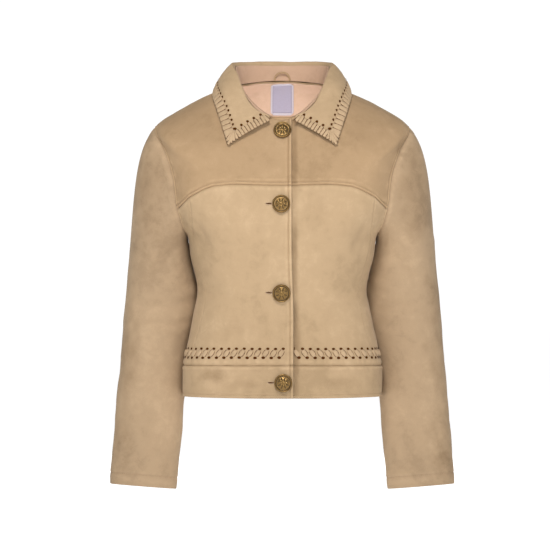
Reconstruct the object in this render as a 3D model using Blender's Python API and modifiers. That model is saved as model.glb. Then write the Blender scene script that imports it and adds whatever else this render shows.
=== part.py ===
"""Cropped suede jacket, buttoned, filled out with nobody in it.

Each cut piece is a thin wall on one smooth torso surface or sleeve tube. The torso surface is
lofted through a table of sections and addressed by an angle and a section number: angle 0 is the
centre front, 90 the side and 180 the centre back; section 0 is the neckline and the last the hem.
The origin is midway between the two neck points of the shoulders. +Z is up, the front faces -Y,
and +X is the wearer's left. Lengths are in millimetres until a mesh is made, in metres.
"""
import math

import bmesh
import bpy
from mathutils import Vector

MM = 0.001

# Driving dimensions, mm
CLOTH = 1.6                 # bonded suede, one wall of the body and the sleeves
COLLAR_CLOTH = 2.0
FACING_CLOTH = 1.0
EDGE_INSET = 0.28           # each piece stops this far short of a shared seam
LAP_HALF = 14.5             # the fronts overlap by this much on each side of the centre
LAP_RAMP = (16.0, 31.0)     # the under front comes back to the surface between these distances
LAP_COLUMNS = (-LAP_HALF, 0.0, LAP_HALF, 19.5, 25.0)
LAP_DEPTH = CLOTH + 0.6
BAND_TOP = -466.0           # height of the waistband's seam
SIDE_ANGLE = 95.0           # the side seam lies a little behind the widest line
LACE_PITCH = 12.7
HEM_LACE_TOP = -436.5
HEM_LACE_HEIGHT = 17.0
HEM_LACE_LIFT = 0.6
HEM_LACE_RISE = (0.9, 2.1, 0.9)     # a loop's height at its top, middle and bottom
HEM_LACE_VALLEY = 0.75
HEM_LACE_SLANT = 0.45               # of the pitch
HEM_LACE_STARTS = (-4.5, 18.0)      # distance from the centre on the right and the left front
HEM_LACE_CLEAR = 0.3                # degrees between two strips at the side seam
BUTTON_RADIUS = 14.8
BUTTON_LIFT = 0.6
# Half section of a button from its dome to its shank: share of the radius, and height
BUTTON_SECTION = ((0.0, 5.2), (0.52, 4.7), (0.80, 3.7), (0.86, 4.3), (0.96, 3.9), (1.0, 2.6),
                  (0.92, 1.2), (0.35, 0.8), (0.30, 0.0), (0.0, 0.0))
BUTTON_TURNS = 16
BUTTON_PLACES = (("button_1", 0.3, -80.5), ("button_2", -1.8, -201.0),
                 ("button_3", -1.3, -346.5), ("button_4", 1.6, -494.0))
LAYER_GAP = 0.4
FACING_SHARES = (0.1, 1.0, 2.0, 3.0)    # rows of the facing below the neck, in shoulder steps
LABEL_WIDTH = 38.5
LABEL_SHARES = (0.15, 1.0, 2.0, 2.9)
LABEL_GAP = 1.4
LABEL_CLOTH = 0.6
LOOP_SIZE = (28.0, 16.0)
LOOP_STRIP = 2.6
LOOP_CLOTH = 0.8
LOOP_GAP = 2.0              # in front of the collar's stand
LOOP_LEAN = 0.1
LOOP_SINK = 0.6
LOOP_SQUARE = 0.8           # below 1 the arch is squarer than an ellipse

# Torso sections: half width, front depth, back depth, height at the centre front, at the side
# and at the centre back, and the roundness of the section (2 is an ellipse).
TORSO = (
    (72.0, 78.0, 55.0, -62.0, -3.0, 4.0, 2.00),
    (112.0, 91.0, 74.0, -86.0, -17.0, -20.0, 2.10),
    (160.0, 104.0, 92.0, -116.0, -40.0, -62.0, 2.30),
    (208.0, 115.0, 103.0, -152.0, -72.0, -108.0, 2.60),
    (199.0, 120.0, 106.0, -177.0, -104.0, -145.0, 2.70),
    (189.0, 123.5, 106.0, -201.0, -145.0, -176.0, 2.80),
    (181.0, 126.0, 103.0, -228.0, -193.0, -212.0, 2.80),
    (169.0, 125.0, 98.0, -246.0, -229.0, -236.0, 2.70),
    (156.0, 122.5, 94.0, -264.0, -253.0, -256.0, 2.60),
    (150.5, 116.0, 86.0, -293.0, -290.0, -290.0, 2.50),
    (142.0, 109.0, 80.0, -322.0, -322.0, -322.0, 2.45),
    (139.0, 104.0, 77.0, -345.0, -345.0, -345.0, 2.40),
    (143.0, 101.0, 78.0, -369.0, -369.0, -369.0, 2.40),
    (151.0, 99.0, 83.0, -405.0, -405.0, -405.0, 2.40),
    (159.5, 97.5, 90.0, -446.0, -446.0, -446.0, 2.45),
    (163.6, 97.0, 92.5, -466.0, -466.0, -466.0, 2.50),
    (164.3, 96.5, 95.0, -490.0, -490.0, -490.0, 2.50),
    (164.0, 96.0, 97.0, -519.5, -517.0, -519.0, 2.50),
)
HEM = len(TORSO) - 1

# Armhole, as angles round the shoulder: 0 at the shoulder point, 180 at the underarm
SHOULDER_SECTION = 3.0
UNDERARM_SECTION = 8.0
ARMHOLE_FRONT = 24.0
ARMHOLE_BACK = 26.0
ARMHOLE_STEP = 18.0         # both sides of the armhole's seam have their points this far apart
YOKE_TURN = 6 * ARMHOLE_STEP    # where the yoke's seam meets the armhole

SHOULDER_STEPS = 5
YOKE_STEPS = (9, 4)         # of the yoke's seam, to the princess seam and on to the armhole
SIDE_STEPS = 10
PRINCESS_STEPS = 4 + SIDE_STEPS
BACK_COLUMNS = 20

# Seams of the fronts, as distance from the centre and height
YOKE_SEAM = ((0.0, -171.0), (78.0, -168.6), (103.0, -170.5), (120.0, -174.0), (152.0, -189.0))
PRINCESS_SEAM = ((149.0, -224.0), (146.0, -260.0), (137.0, -300.0), (126.0, -345.0),
                 (136.0, -400.0), (147.0, -440.0), (150.0, BAND_TOP))

# Folds of the torso: start and end (distance from the centre, height), depth and half width.
# A negative depth is a hollow. The last column says which fronts have it, and "back" the back.
TORSO_FOLDS = (
    ((141.0, -232.0), (119.0, -284.0), -3.6, 7.5, "front"),
    ((128.0, -338.0), (84.0, -352.0), -1.8, 9.0, "front"),
    ((96.0, -120.0), (150.0, -150.0), -1.4, 14.0, "front"),
    ((150.0, -190.0), (112.0, -262.0), -3.0, 10.0, "back"),
    ((126.0, -336.0), (60.0, -349.0), -2.6, 11.0, "back"),
    ((118.0, -374.0), (50.0, -381.0), -1.8, 10.0, "back"),
)

FOLD_TAPER = 0.7            # below 1 a fold keeps its depth further towards its ends

# Sleeve sections below the armhole: centre, half width, half depth, and rise towards the outside
SLEEVE = (
    (200.5, 25.0, -262.0, 49.5, 60.0, 0.30),
    (199.6, 33.0, -300.0, 54.0, 57.0, 0.15),
    (197.2, 40.0, -345.0, 60.8, 54.5, 0.08),
    (203.8, 45.0, -400.0, 58.8, 51.5, 0.08),
    (211.7, 49.0, -450.0, 55.3, 48.0, 0.08),
    (217.4, 50.0, -517.0, 55.4, 45.0, 0.08),
    (222.2, 47.0, -580.0, 56.2, 41.0, 0.08),
    (226.7, 43.0, -630.0, 56.0, 36.0, 0.08),
    (230.0, 40.0, -666.5, 55.0, 30.0, 0.08),
)
SLEEVE_POWER = 2.2
SLEEVE_STEPS = 13
# Way the sleeve's head leaves the armhole, as x, y and z. Each is a sum of a constant, a part at
# the shoulder, a part at the front and back alike, and a part towards the front.
HEAD_LEAVE = ((0.25, 0.40, 0.25, 0.0), (0.35, -0.35, 0.0, -0.10), (-0.80, 0.14, 0.35, 0.0))
HEAD_PULL = (0.75, 0.95)    # how far the head keeps each end's direction
HEAD_AIM = 0.12
HEAD_SHARES = (0.0, 0.1, 0.22, 0.36, 0.52, 0.68, 0.84)
SEAM_STEP = 0.3
# Folds of a sleeve: turn at each end, height at each end, depth and half width
SLEEVE_FOLDS = (
    ((118.0, -268.0), (60.0, -332.0), -3.2, 9.0),
    ((165.0, -352.0), (70.0, -372.0), -3.0, 8.0),
    ((150.0, -392.0), (78.0, -400.0), -2.2, 8.0),
    ((200.0, -340.0), (285.0, -366.0), -3.0, 9.0),
    ((190.0, -388.0), (262.0, -412.0), -2.4, 9.0),
    ((20.0, -590.0), (70.0, -640.0), -1.6, 9.0),
)

# Collar: points of the roll line and of the leaf's outer edge, from the centre back to the front
COLLAR = (
    (0.0, 62.0, 37.0, 0.0, 89.0, -22.0),
    (31.0, 58.0, 36.8, 43.0, 84.0, -21.0),
    (59.0, 43.0, 36.0, 83.0, 63.0, -17.0),
    (77.0, 22.0, 34.5, 105.0, 30.0, -10.5),
    (82.0, 3.0, 32.0, 112.0, -4.0, -11.5),
    (77.5, -15.0, 22.0, 114.0, -32.0, -23.0),
    (72.0, -32.0, 9.0, 109.0, -57.0, -38.0),
    (65.0, -49.0, -10.0, 102.5, -74.0, -57.0),
    (55.0, -66.0, -32.0, 96.0, -87.0, -77.0),
    (40.0, -79.0, -47.0, 91.0, -96.0, -92.0),
    (22.0, -87.0, -55.0, 88.0, -101.0, -101.0),
)
COLLAR_STEPS = 15
LEAF_STEPS = 5
NECK_END = 13.0             # angle where the collar's neck seam ends at the front
NECK_SPREAD = 1.06
NECK_LIFT = 0.5
STAND_SWELL = 0.8
ROLL_AIM = 0.02
ROLL_INSIDE = 2.8           # the fold's two sides stand this far from the roll line
ROLL_OUTSIDE = 2.6
ROLL_DROP = 6.0             # depth of the inner seam below the roll, and at the front end
ROLL_DROP_END = 3.0
ROLL_TURN = 4.5
ROLL_END = (0.0, 1.0, 8.0)
ROLL_FLATTEN = 6            # the higher, the nearer to the front end the fold changes
LEAF_SWELL = 3.6
LEAF_SWELL_END = 2.0
STAND_CLOTH = COLLAR_CLOTH - 0.4
COLLAR_LACE_REACH = 13.0
COLLAR_LACE_GAP = 0.45      # between the leaf's cloth and the lace round it
COLLAR_LACE_RISE = 1.5
COLLAR_LACE_VALLEY = 0.7
COLLAR_LACE_LIP = 0.5
COLLAR_LACE_END = 0.6
TIP_CLEARANCE = 0.2         # the front's lace stops this share of a step short of the edge's

MATERIALS = {
    "suede": ((0.520, 0.371, 0.224, 1.0), 0.92, 0.0),
    "suede_lace": ((0.500, 0.345, 0.205, 1.0), 0.90, 0.0),
    "facing": ((0.600, 0.402, 0.280, 1.0), 0.90, 0.0),
    "label": ((0.430, 0.370, 0.500, 1.0), 0.75, 0.0),
    "brass": ((0.300, 0.190, 0.060, 1.0), 0.38, 1.0),
}


def clear_scene():
    for item in list(bpy.data.objects):
        bpy.data.objects.remove(item, do_unlink=True)


def material(name):
    if name in bpy.data.materials:
        return bpy.data.materials[name]
    colour, roughness, metallic = MATERIALS[name]
    made = bpy.data.materials.new(name)
    made.use_nodes = True
    shader = made.node_tree.nodes["Principled BSDF"]
    shader.inputs["Base Color"].default_value = colour
    shader.inputs["Roughness"].default_value = roughness
    shader.inputs["Metallic"].default_value = metallic
    return made


# --- Curves through a table -------------------------------------------------------------------

def smooth_row(table, place):
    """A row of the table between its rows, on a Catmull-Rom curve through each column."""
    last = len(table) - 1
    place = min(max(place, 0.0), float(last))
    i = min(int(place), last - 1)
    t = place - i
    p1, p2 = table[i], table[i + 1]
    p0 = table[i - 1] if i > 0 else [2 * a - b for a, b in zip(p1, p2)]
    p3 = table[i + 2] if i + 2 <= last else [2 * b - a for a, b in zip(p1, p2)]
    return [0.5 * (2 * b + (c - a) * t + (2 * a - 5 * b + 4 * c - d) * t * t
                   + (3 * b - a - 3 * c + d) * t ** 3)
            for a, b, c, d in zip(p0, p1, p2, p3)]


def smooth_step(low, high, value):
    t = min(max((value - low) / (high - low), 0.0), 1.0)
    return t * t * (3 - 2 * t)


def rounded(value, power):
    return math.copysign(abs(value) ** (2.0 / power), value)


def fold_height(point, folds):
    """Height of soft folds at a point of a flat map. Each fold fades at both of its ends."""
    total = 0.0
    for start, end, depth, half in folds:
        ax, ay = start
        dx, dy = end[0] - ax, end[1] - ay
        t = ((point[0] - ax) * dx + (point[1] - ay) * dy) / (dx * dx + dy * dy)
        if not 0.0 < t < 1.0:
            continue
        fade = math.sin(math.pi * t) ** FOLD_TAPER
        off = math.hypot(point[0] - ax - dx * t, point[1] - ay - dy * t)
        total += depth * fade * math.exp(-(off / half) ** 2)
    return total


# --- The torso surface ------------------------------------------------------------------------

def torso_base(angle, section):
    width, front, back, z_front, z_side, z_back, power = smooth_row(TORSO, section)
    s, c = math.sin(math.radians(angle)), math.cos(math.radians(angle))
    depth, z_end = (front, z_front) if c >= 0 else (back, z_back)
    return Vector((width * rounded(s, power), -depth * rounded(c, power),
                   z_side + (z_end - z_side) * c * c))


def torso_normal(angle, section):
    turn, rise = 1.2, 0.04
    low, high = max(section - rise, 0.0), min(section + rise, float(HEM))
    across = torso_base(angle + turn, section) - torso_base(angle - turn, section)
    down = torso_base(angle, high) - torso_base(angle, low)
    return down.cross(across).normalized()


def torso(angle, section, out=0.0):
    """A point of the cloth's outer face, moved out along the normal."""
    base = torso_base(angle, section)
    side = "front" if math.cos(math.radians(angle)) >= 0 else "back"
    folds = [fold[:4] for fold in TORSO_FOLDS if fold[4] == side]
    height = fold_height((abs(base.x), base.z), folds)
    return base + torso_normal(angle, section) * (out + height)


def angle_at(x, section):
    """Angle on the front half where the section is x from the centre."""
    row = smooth_row(TORSO, section)
    ratio = min(abs(x) / row[0], 1.0)
    return math.copysign(math.degrees(math.asin(ratio ** (row[6] / 2.0))), x)


def place_at(x, z, back=False):
    """Angle and section of the torso point with this x and height."""
    low, high = 0.0, float(HEM)
    for _ in range(40):
        middle = (low + high) / 2
        angle = angle_at(x, middle)
        if back:
            angle = math.copysign(180.0, x) - angle
        if torso_base(angle, middle).z > z:
            low = middle
        else:
            high = middle
    return angle, (low + high) / 2


def armhole(turn):
    """Angle and section of the armhole's seam: 0 shoulder, 90 front, 180 underarm, 270 back."""
    sweep = turn if turn <= 180 else 360 - turn
    middle = 90.0 + (SIDE_ANGLE - 90.0) * sweep / 180.0
    reach = ARMHOLE_FRONT if turn <= 180 else -ARMHOLE_BACK
    share = (1 - math.cos(math.radians(turn))) / 2
    section = SHOULDER_SECTION + (UNDERARM_SECTION - SHOULDER_SECTION) * share
    return middle - reach * math.sin(math.radians(sweep)), section


def shoulder_seam():
    return [(90.0, SHOULDER_SECTION * k / SHOULDER_STEPS) for k in range(SHOULDER_STEPS + 1)]


def armhole_run(start, end):
    steps = round(abs(end - start) / ARMHOLE_STEP)
    return [armhole(start + (end - start) * k / steps) for k in range(steps + 1)]


def yoke_seam_rows():
    """The yoke's seam as x and height, ending on the armhole."""
    end = torso_base(*armhole(YOKE_TURN))
    return YOKE_SEAM + ((end.x, end.z),)


def yoke_seam(start_x, end_x, steps):
    rows = yoke_seam_rows()
    ended = abs(end_x - rows[-1][0]) < 1e-6
    result = []
    for k in range(steps + 1):
        x = start_x + (end_x - start_x) * k / steps
        i = 0
        while i < len(rows) - 2 and rows[i + 1][0] < x:
            i += 1
        share = (x - rows[i][0]) / (rows[i + 1][0] - rows[i][0])
        result.append(place_at(x, smooth_row(rows, i + max(share, 0.0))[1]))
    if ended:
        result[-1] = armhole(YOKE_TURN)
    return result


def princess_seam(steps=PRINCESS_STEPS):
    rows = (YOKE_SEAM[-1],) + PRINCESS_SEAM
    last = len(rows) - 1
    return [place_at(*smooth_row(rows, last * k / steps)) for k in range(steps + 1)]


def blend_sides(left, right, top, bottom):
    """A grid of places between four sides; its rows run from the left side to the right."""
    rows, columns = len(left) - 1, len(top) - 1
    grid = []
    for r in range(rows + 1):
        v = r / rows
        line = []
        for c in range(columns + 1):
            u = c / columns
            place = []
            for k in range(2):
                sides = ((1 - u) * left[r][k] + u * right[r][k]
                         + (1 - v) * top[c][k] + v * bottom[c][k])
                corners = ((1 - u) * ((1 - v) * top[0][k] + v * bottom[0][k])
                           + u * ((1 - v) * top[-1][k] + v * bottom[-1][k]))
                place.append(sides - corners)
            line.append(tuple(place))
        grid.append(line)
    return grid


# --- Meshes -----------------------------------------------------------------------------------

def inset(grid, amount=EDGE_INSET):
    """The grid with its outline drawn in, so that a seam's two sides stay apart."""
    grid = [list(row) for row in grid]
    rows, columns = len(grid), len(grid[0])
    for c in range(columns):
        for edge, near in ((0, 1), (rows - 1, rows - 2)):
            step = grid[near][c] - grid[edge][c]
            grid[edge][c] = grid[edge][c] + step.normalized() * amount
    for r in range(rows):
        for edge, near in ((0, 1), (columns - 1, columns - 2)):
            step = grid[r][near] - grid[r][edge]
            grid[r][edge] = grid[r][edge] + step.normalized() * amount
    return grid


def new_object(name, mesh, slot, parts):
    made = bpy.data.objects.new(name, mesh)
    made.data.materials.append(material(slot))
    parts.objects.link(made)
    return made


def sheet(name, grid, thickness, slot, parts, closed=False, mirror=False):
    """A wall whose outer face is the grid: rows downwards, columns anticlockwise from above."""
    work = bmesh.new()
    if mirror:
        grid = [[Vector((-p.x, p.y, p.z)) for p in reversed(row)] for row in grid]
    verts = [[work.verts.new(p * MM) for p in row] for row in grid]
    columns = len(grid[0])
    for upper, lower in zip(verts, verts[1:]):
        for c in range(columns if closed else columns - 1):
            d = (c + 1) % columns
            work.faces.new((upper[c], lower[c], lower[d], upper[d]))
    mesh = bpy.data.meshes.new(name)
    work.to_mesh(mesh)
    work.free()
    mesh.shade_smooth()
    made = new_object(name, mesh, slot, parts)
    wall = made.modifiers.new("wall", "SOLIDIFY")
    wall.thickness = thickness * MM
    wall.offset = -1.0
    return made


def wall_between(name, outer, inner, slot, parts, mirror=False):
    """A closed wall between two unlike grids of the same size: a ribbed face over a plain one."""
    if mirror:
        outer = [[Vector((-p.x, p.y, p.z)) for p in reversed(row)] for row in outer]
        inner = [[Vector((-p.x, p.y, p.z)) for p in reversed(row)] for row in inner]
    work = bmesh.new()
    tops = [[work.verts.new(p * MM) for p in row] for row in outer]
    unders = [[work.verts.new(p * MM) for p in row] for row in inner]
    for upper, lower in zip(tops, tops[1:]):
        for a, b, c, d in zip(upper, lower, lower[1:], upper[1:]):
            work.faces.new((a, b, c, d))
    for upper, lower in zip(unders, unders[1:]):
        for a, b, c, d in zip(upper, lower, lower[1:], upper[1:]):
            work.faces.new((d, c, b, a))
    top_rim = tops[0] + [row[-1] for row in tops[1:]]
    top_rim += list(reversed(tops[-1][:-1])) + [row[0] for row in reversed(tops[1:-1])]
    low_rim = unders[0] + [row[-1] for row in unders[1:]]
    low_rim += list(reversed(unders[-1][:-1])) + [row[0] for row in reversed(unders[1:-1])]
    count = len(top_rim)
    for k in range(count):
        n = (k + 1) % count
        work.faces.new((top_rim[k], top_rim[n], low_rim[n], low_rim[k]))
    mesh = bpy.data.meshes.new(name)
    work.to_mesh(mesh)
    work.free()
    return new_object(name, mesh, slot, parts)


# --- Body -------------------------------------------------------------------------------------

def lapped(grid, depth=LAP_DEPTH):
    """The under front's points, pressed in where the upper front lies over them."""
    result = []
    for row in grid:
        line = []
        for angle, section in row:
            x = torso_base(angle, section).x
            press = depth * (1 - smooth_step(LAP_RAMP[0], LAP_RAMP[1], x))
            line.append(torso(angle, section, -press))
        result.append(line)
    return result


def front_piece(name, grid, side, parts):
    """A piece of the wearer's right front lies on top; its twin on the left is pressed in."""
    if side == "right":
        points = [[torso(*place) for place in row] for row in grid]
    else:
        points = lapped(grid)
    return sheet(name + "_" + side, inset(points), CLOTH, "suede", parts, mirror=side == "right")


def front_grid(right, top, bottom):
    """Places of a front: even columns from the lap to the right side, and the lap's own columns."""
    rows = len(right) - 1
    lap = LAP_RAMP[1]
    sections = [top[0][1] + (bottom[0][1] - top[0][1]) * k / rows for k in range(rows + 1)]
    left = [(angle_at(lap, section), section) for section in sections]
    grid = blend_sides(left, right, top, bottom)
    return [[(angle_at(x, section), section) for x in LAP_COLUMNS] + row
            for section, row in zip(sections, grid)]


def to_side(start, end, steps):
    """Places from one to another at one section, in even steps of angle."""
    return [(start + (end[0] - start) * k / steps, end[1]) for k in range(steps + 1)]


def build_yoke(side, parts):
    near, far = YOKE_STEPS
    end_x = yoke_seam_rows()[-1][0]
    seam_x = YOKE_SEAM[-1][0]
    bottom = yoke_seam(LAP_RAMP[1], seam_x, near) + yoke_seam(seam_x, end_x, far)[1:]
    right = shoulder_seam() + armhole_run(0, YOKE_TURN)[1:]
    top = to_side(angle_at(LAP_RAMP[1], 0.0), right[0], near + far)
    front_piece("yoke", front_grid(right, top, bottom), side, parts)


def build_front(side, parts):
    top = yoke_seam(LAP_RAMP[1], YOKE_SEAM[-1][0], YOKE_STEPS[0])
    right = princess_seam()
    bottom = to_side(angle_at(LAP_RAMP[1], right[-1][1]), right[-1], YOKE_STEPS[0])
    front_piece("front", front_grid(right, top, bottom), side, parts)


def side_seam(top, low):
    return [(SIDE_ANGLE, top + (low - top) * k / SIDE_STEPS) for k in range(1, SIDE_STEPS + 1)]


def build_side_front(side, parts):
    end_x = yoke_seam_rows()[-1][0]
    top = yoke_seam(YOKE_SEAM[-1][0], end_x, YOKE_STEPS[1])
    left = princess_seam()
    right = armhole_run(YOKE_TURN, 180)
    right += side_seam(right[-1][1], left[-1][1])
    bottom = to_side(left[-1][0], right[-1], YOKE_STEPS[1])
    points = [[torso(*place) for place in row] for row in blend_sides(left, right, top, bottom)]
    sheet("side_front_" + side, inset(points), CLOTH, "suede", parts, mirror=side == "right")


def back_side(low):
    side = shoulder_seam() + armhole_run(360, 180)[1:]
    return side + side_seam(side[-1][1], low)


def build_back(parts):
    low = princess_seam(1)[-1][1]
    left = back_side(low)
    right = [(360.0 - angle, section) for angle, section in left]
    top = to_side(left[0][0], right[0], BACK_COLUMNS)
    bottom = to_side(left[-1][0], right[-1], BACK_COLUMNS)
    points = [[torso(*place) for place in row] for row in blend_sides(left, right, top, bottom)]
    sheet("back", inset(points), CLOTH, "suede", parts)


def build_waistband(parts):
    top = princess_seam(1)[-1][1]
    sections = [top, (top + HEM) / 2, float(HEM)]
    for side in ("right", "left"):
        grid = []
        for section in sections:
            start = angle_at(LAP_RAMP[1], section)
            lap = [(angle_at(x, section), section) for x in LAP_COLUMNS]
            princess = princess_seam(1)[-1][0]
            near = to_side(start, (princess, section), YOKE_STEPS[0])
            grid.append(lap + near + to_side(princess, (SIDE_ANGLE, section), YOKE_STEPS[1])[1:])
        front_piece("waistband", grid, side, parts)
    far = 360.0 - SIDE_ANGLE
    grid = [[torso(*place) for place in to_side(SIDE_ANGLE, (far, section), BACK_COLUMNS)]
            for section in sections]
    sheet("waistband_back", inset(grid), CLOTH, "suede", parts)


# --- Sleeves ----------------------------------------------------------------------------------

def sleeve_section(place, turn):
    x, y, z, width, depth, tilt = smooth_row(SLEEVE, place)
    c = rounded(math.cos(math.radians(turn)), SLEEVE_POWER)
    s = rounded(math.sin(math.radians(turn)), SLEEVE_POWER)
    point = Vector((x + width * c, y - depth * s, z + tilt * width * c))
    centre = Vector((x, y, z))
    outward = (point - centre).normalized()
    return point + outward * fold_height((turn, point.z), SLEEVE_FOLDS)


def sleeve_head(turn, share):
    """The sleeve's head: a curve from the armhole's seam to the first section below it."""
    start = torso(*armhole(turn))
    end = sleeve_section(0.0, turn)
    reach = (end - start).length
    over = (1 + math.cos(math.radians(turn))) / 2
    across = math.sin(math.radians(turn))
    parts = (1.0, over, abs(across), across)
    leave = Vector([sum(a * b for a, b in zip(row, parts)) for row in HEAD_LEAVE]).normalized()
    arrive = (sleeve_section(HEAD_AIM, turn) - end).normalized()
    t = share
    point = ((2 * t ** 3 - 3 * t ** 2 + 1) * start + (3 * t ** 2 - 2 * t ** 3) * end
             + (t ** 3 - 2 * t ** 2 + t) * leave * reach * HEAD_PULL[0]
             + (t ** 3 - t ** 2) * arrive * reach * HEAD_PULL[1])
    if share == 0.0:
        point = point + leave * SEAM_STEP
    return point


def build_sleeve(side, parts):
    around = round(360.0 / ARMHOLE_STEP)
    turns = [360.0 - ARMHOLE_STEP * k for k in range(around)]
    body = [(len(SLEEVE) - 1) * k / SLEEVE_STEPS for k in range(SLEEVE_STEPS + 1)]
    grid = [[sleeve_head(turn % 360, share) for turn in turns] for share in HEAD_SHARES]
    grid += [[sleeve_section(place, turn % 360) for turn in turns] for place in body]
    sheet("sleeve_" + side, grid, CLOTH, "suede", parts, closed=True, mirror=side == "right")


# --- Collar -----------------------------------------------------------------------------------

def collar_edges(share):
    """Roll point and edge point of one line across the collar, from -1 to 1 round the back."""
    row = smooth_row(COLLAR, abs(share) * (len(COLLAR) - 1))
    sign = -1.0 if share < 0 else 1.0
    return Vector((sign * row[0], row[1], row[2])), Vector((sign * row[3], row[4], row[5]))


def collar_line(share, steps=LEAF_STEPS):
    """Points across the collar: neck seam, stand, inner seam, roll, and the leaf to its edge."""
    roll, edge = collar_edges(share)
    ahead = collar_edges(min(share + ROLL_AIM, 1.0))[0]
    behind = collar_edges(max(share - ROLL_AIM, -1.0))[0]
    down = (edge - roll).normalized()
    outward = (ahead - behind).cross(down).normalized()
    neck_angle = 180.0 - (180.0 - NECK_END) * abs(share) ** NECK_SPREAD
    foot = torso_base(math.copysign(neck_angle, share), 0.0) + Vector((0.0, 0.0, NECK_LIFT))
    end = abs(share) ** ROLL_FLATTEN
    drop = ROLL_DROP + (ROLL_DROP_END - ROLL_DROP) * end
    seam = roll - outward * ROLL_INSIDE + (foot - roll).normalized() * drop
    turned = roll + outward * ROLL_OUTSIDE + down * ROLL_TURN * (1 - end) - Vector(ROLL_END) * end
    leaf = []
    for k in range(1, steps + 1):
        t = k / steps
        rise = LEAF_SWELL + (LEAF_SWELL_END - LEAF_SWELL) * end
        swell = outward * rise * math.sin(math.pi * t)
        leaf.append(turned + (edge - turned) * t + swell)
    return [foot, (foot + seam) / 2 + outward * STAND_SWELL, seam, roll, turned] + leaf


def build_collar(parts):
    shares = [k / COLLAR_STEPS for k in range(COLLAR_STEPS, -COLLAR_STEPS - 1, -1)]
    lines = [collar_line(share) for share in shares]
    stand = [[line[r] for line in lines] for r in (2, 1, 0)]
    leaf = [[line[r] for line in lines] for r in range(2, len(lines[0]))]
    sheet("collar_stand", inset(stand), STAND_CLOTH, "facing", parts)
    sheet("collar_leaf", inset(leaf), COLLAR_CLOTH, "suede", parts)


def build_neck_facing(parts):
    step = SHOULDER_SECTION / SHOULDER_STEPS
    columns = to_side(90.0, (270.0, 0.0), BACK_COLUMNS)[1:-1]
    grid = [[torso(angle, share * step, -CLOTH - LAYER_GAP) for angle, _ in columns]
            for share in FACING_SHARES]
    sheet("neck_facing", grid, FACING_CLOTH, "facing", parts)


# --- Lacing -----------------------------------------------------------------------------------

def hem_lace(name, start, end, press, parts, mirror=False):
    """A strip of lace loops laid on the cloth, each leaning towards the start at its top."""
    rows = len(HEM_LACE_RISE)
    top = place_at(0.01, HEM_LACE_TOP)[1]
    low = place_at(0.01, HEM_LACE_TOP - HEM_LACE_HEIGHT)[1]
    track = [torso(start + (end - start) * k / 60, top) for k in range(61)]
    length = sum((b - a).length for a, b in zip(track, track[1:]))
    loops = max(int(length / LACE_PITCH), 1)
    outer, inner = [], []
    slant = (start - end) / loops * HEM_LACE_SLANT
    for r in range(rows):
        share = r / (rows - 1)
        section = top + (low - top) * share
        outer_row, inner_row = [], []
        for k in range(2 * loops + 1):
            lean = slant * (0.5 - share)
            if k in (0, 2 * loops):
                lean = 0.0
            angle = start + (end - start) * k / (2 * loops) + lean
            rise = HEM_LACE_RISE[r] if k % 2 else HEM_LACE_VALLEY
            foot = HEM_LACE_LIFT - press(angle, section)
            outer_row.append(torso(angle, section, foot + rise))
            inner_row.append(torso(angle, section, foot))
        outer.append(outer_row)
        inner.append(inner_row)
    wall_between(name, outer, inner, "suede_lace", parts, mirror)


def no_press(angle, section):
    return 0.0


def left_press(angle, section):
    return LAP_DEPTH * (1 - smooth_step(LAP_RAMP[0], LAP_RAMP[1], torso_base(angle, section).x))


def build_hem_lace(parts):
    middle = place_at(0.01, HEM_LACE_TOP)[1]
    seam = SIDE_ANGLE - HEM_LACE_CLEAR
    start = SIDE_ANGLE + HEM_LACE_CLEAR
    right_start, left_start = HEM_LACE_STARTS
    hem_lace("hem_lace_right", angle_at(right_start, middle), seam, no_press, parts, mirror=True)
    hem_lace("hem_lace_left", angle_at(left_start, middle), seam, left_press, parts)
    hem_lace("hem_lace_back", start, 360.0 - start, no_press, parts)


def wrapped_lace(name, edge, inside, parts, mirror=False):
    """Lace loops wrapped over the leaf's edge: a channel with ribs on its outer face."""
    lengths = [0.0]
    for a, b in zip(edge, edge[1:]):
        lengths.append(lengths[-1] + (b - a).length)
    count = 2 * max(round(lengths[-1] / LACE_PITCH), 1)
    half = COLLAR_CLOTH / 2 + COLLAR_LACE_GAP
    outer, inner = [], []
    for k in range(count + 1):
        target = lengths[-1] * k / count
        i = 0
        while i < len(edge) - 2 and lengths[i + 1] < target:
            i += 1
        t = (target - lengths[i]) / (lengths[i + 1] - lengths[i])
        here = edge[i].lerp(edge[i + 1], t)
        inward = (inside[i].lerp(inside[i + 1], t) - here).normalized()
        tangent = (edge[min(i + 2, len(edge) - 1)] - edge[max(i - 1, 0)]).normalized()
        normal = tangent.cross(inward).normalized()
        middle = here - normal * (COLLAR_CLOTH / 2)
        rise = COLLAR_LACE_RISE if k % 2 else COLLAR_LACE_VALLEY
        deep, lip = middle + inward * COLLAR_LACE_REACH, middle - inward * COLLAR_LACE_LIP
        crown = middle - inward * (COLLAR_LACE_LIP + rise)
        tail = half + COLLAR_LACE_END
        inner.append([deep + normal * half, lip + normal * half,
                      lip - normal * half, deep - normal * half])
        outer.append([deep + normal * tail, crown + normal * (half + rise / 2),
                      crown - normal * (half + rise / 2), deep - normal * tail])
    outer = [list(row) for row in zip(*outer)]
    inner = [list(row) for row in zip(*inner)]
    wall_between(name, outer, inner, "suede_lace", parts, mirror)


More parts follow.
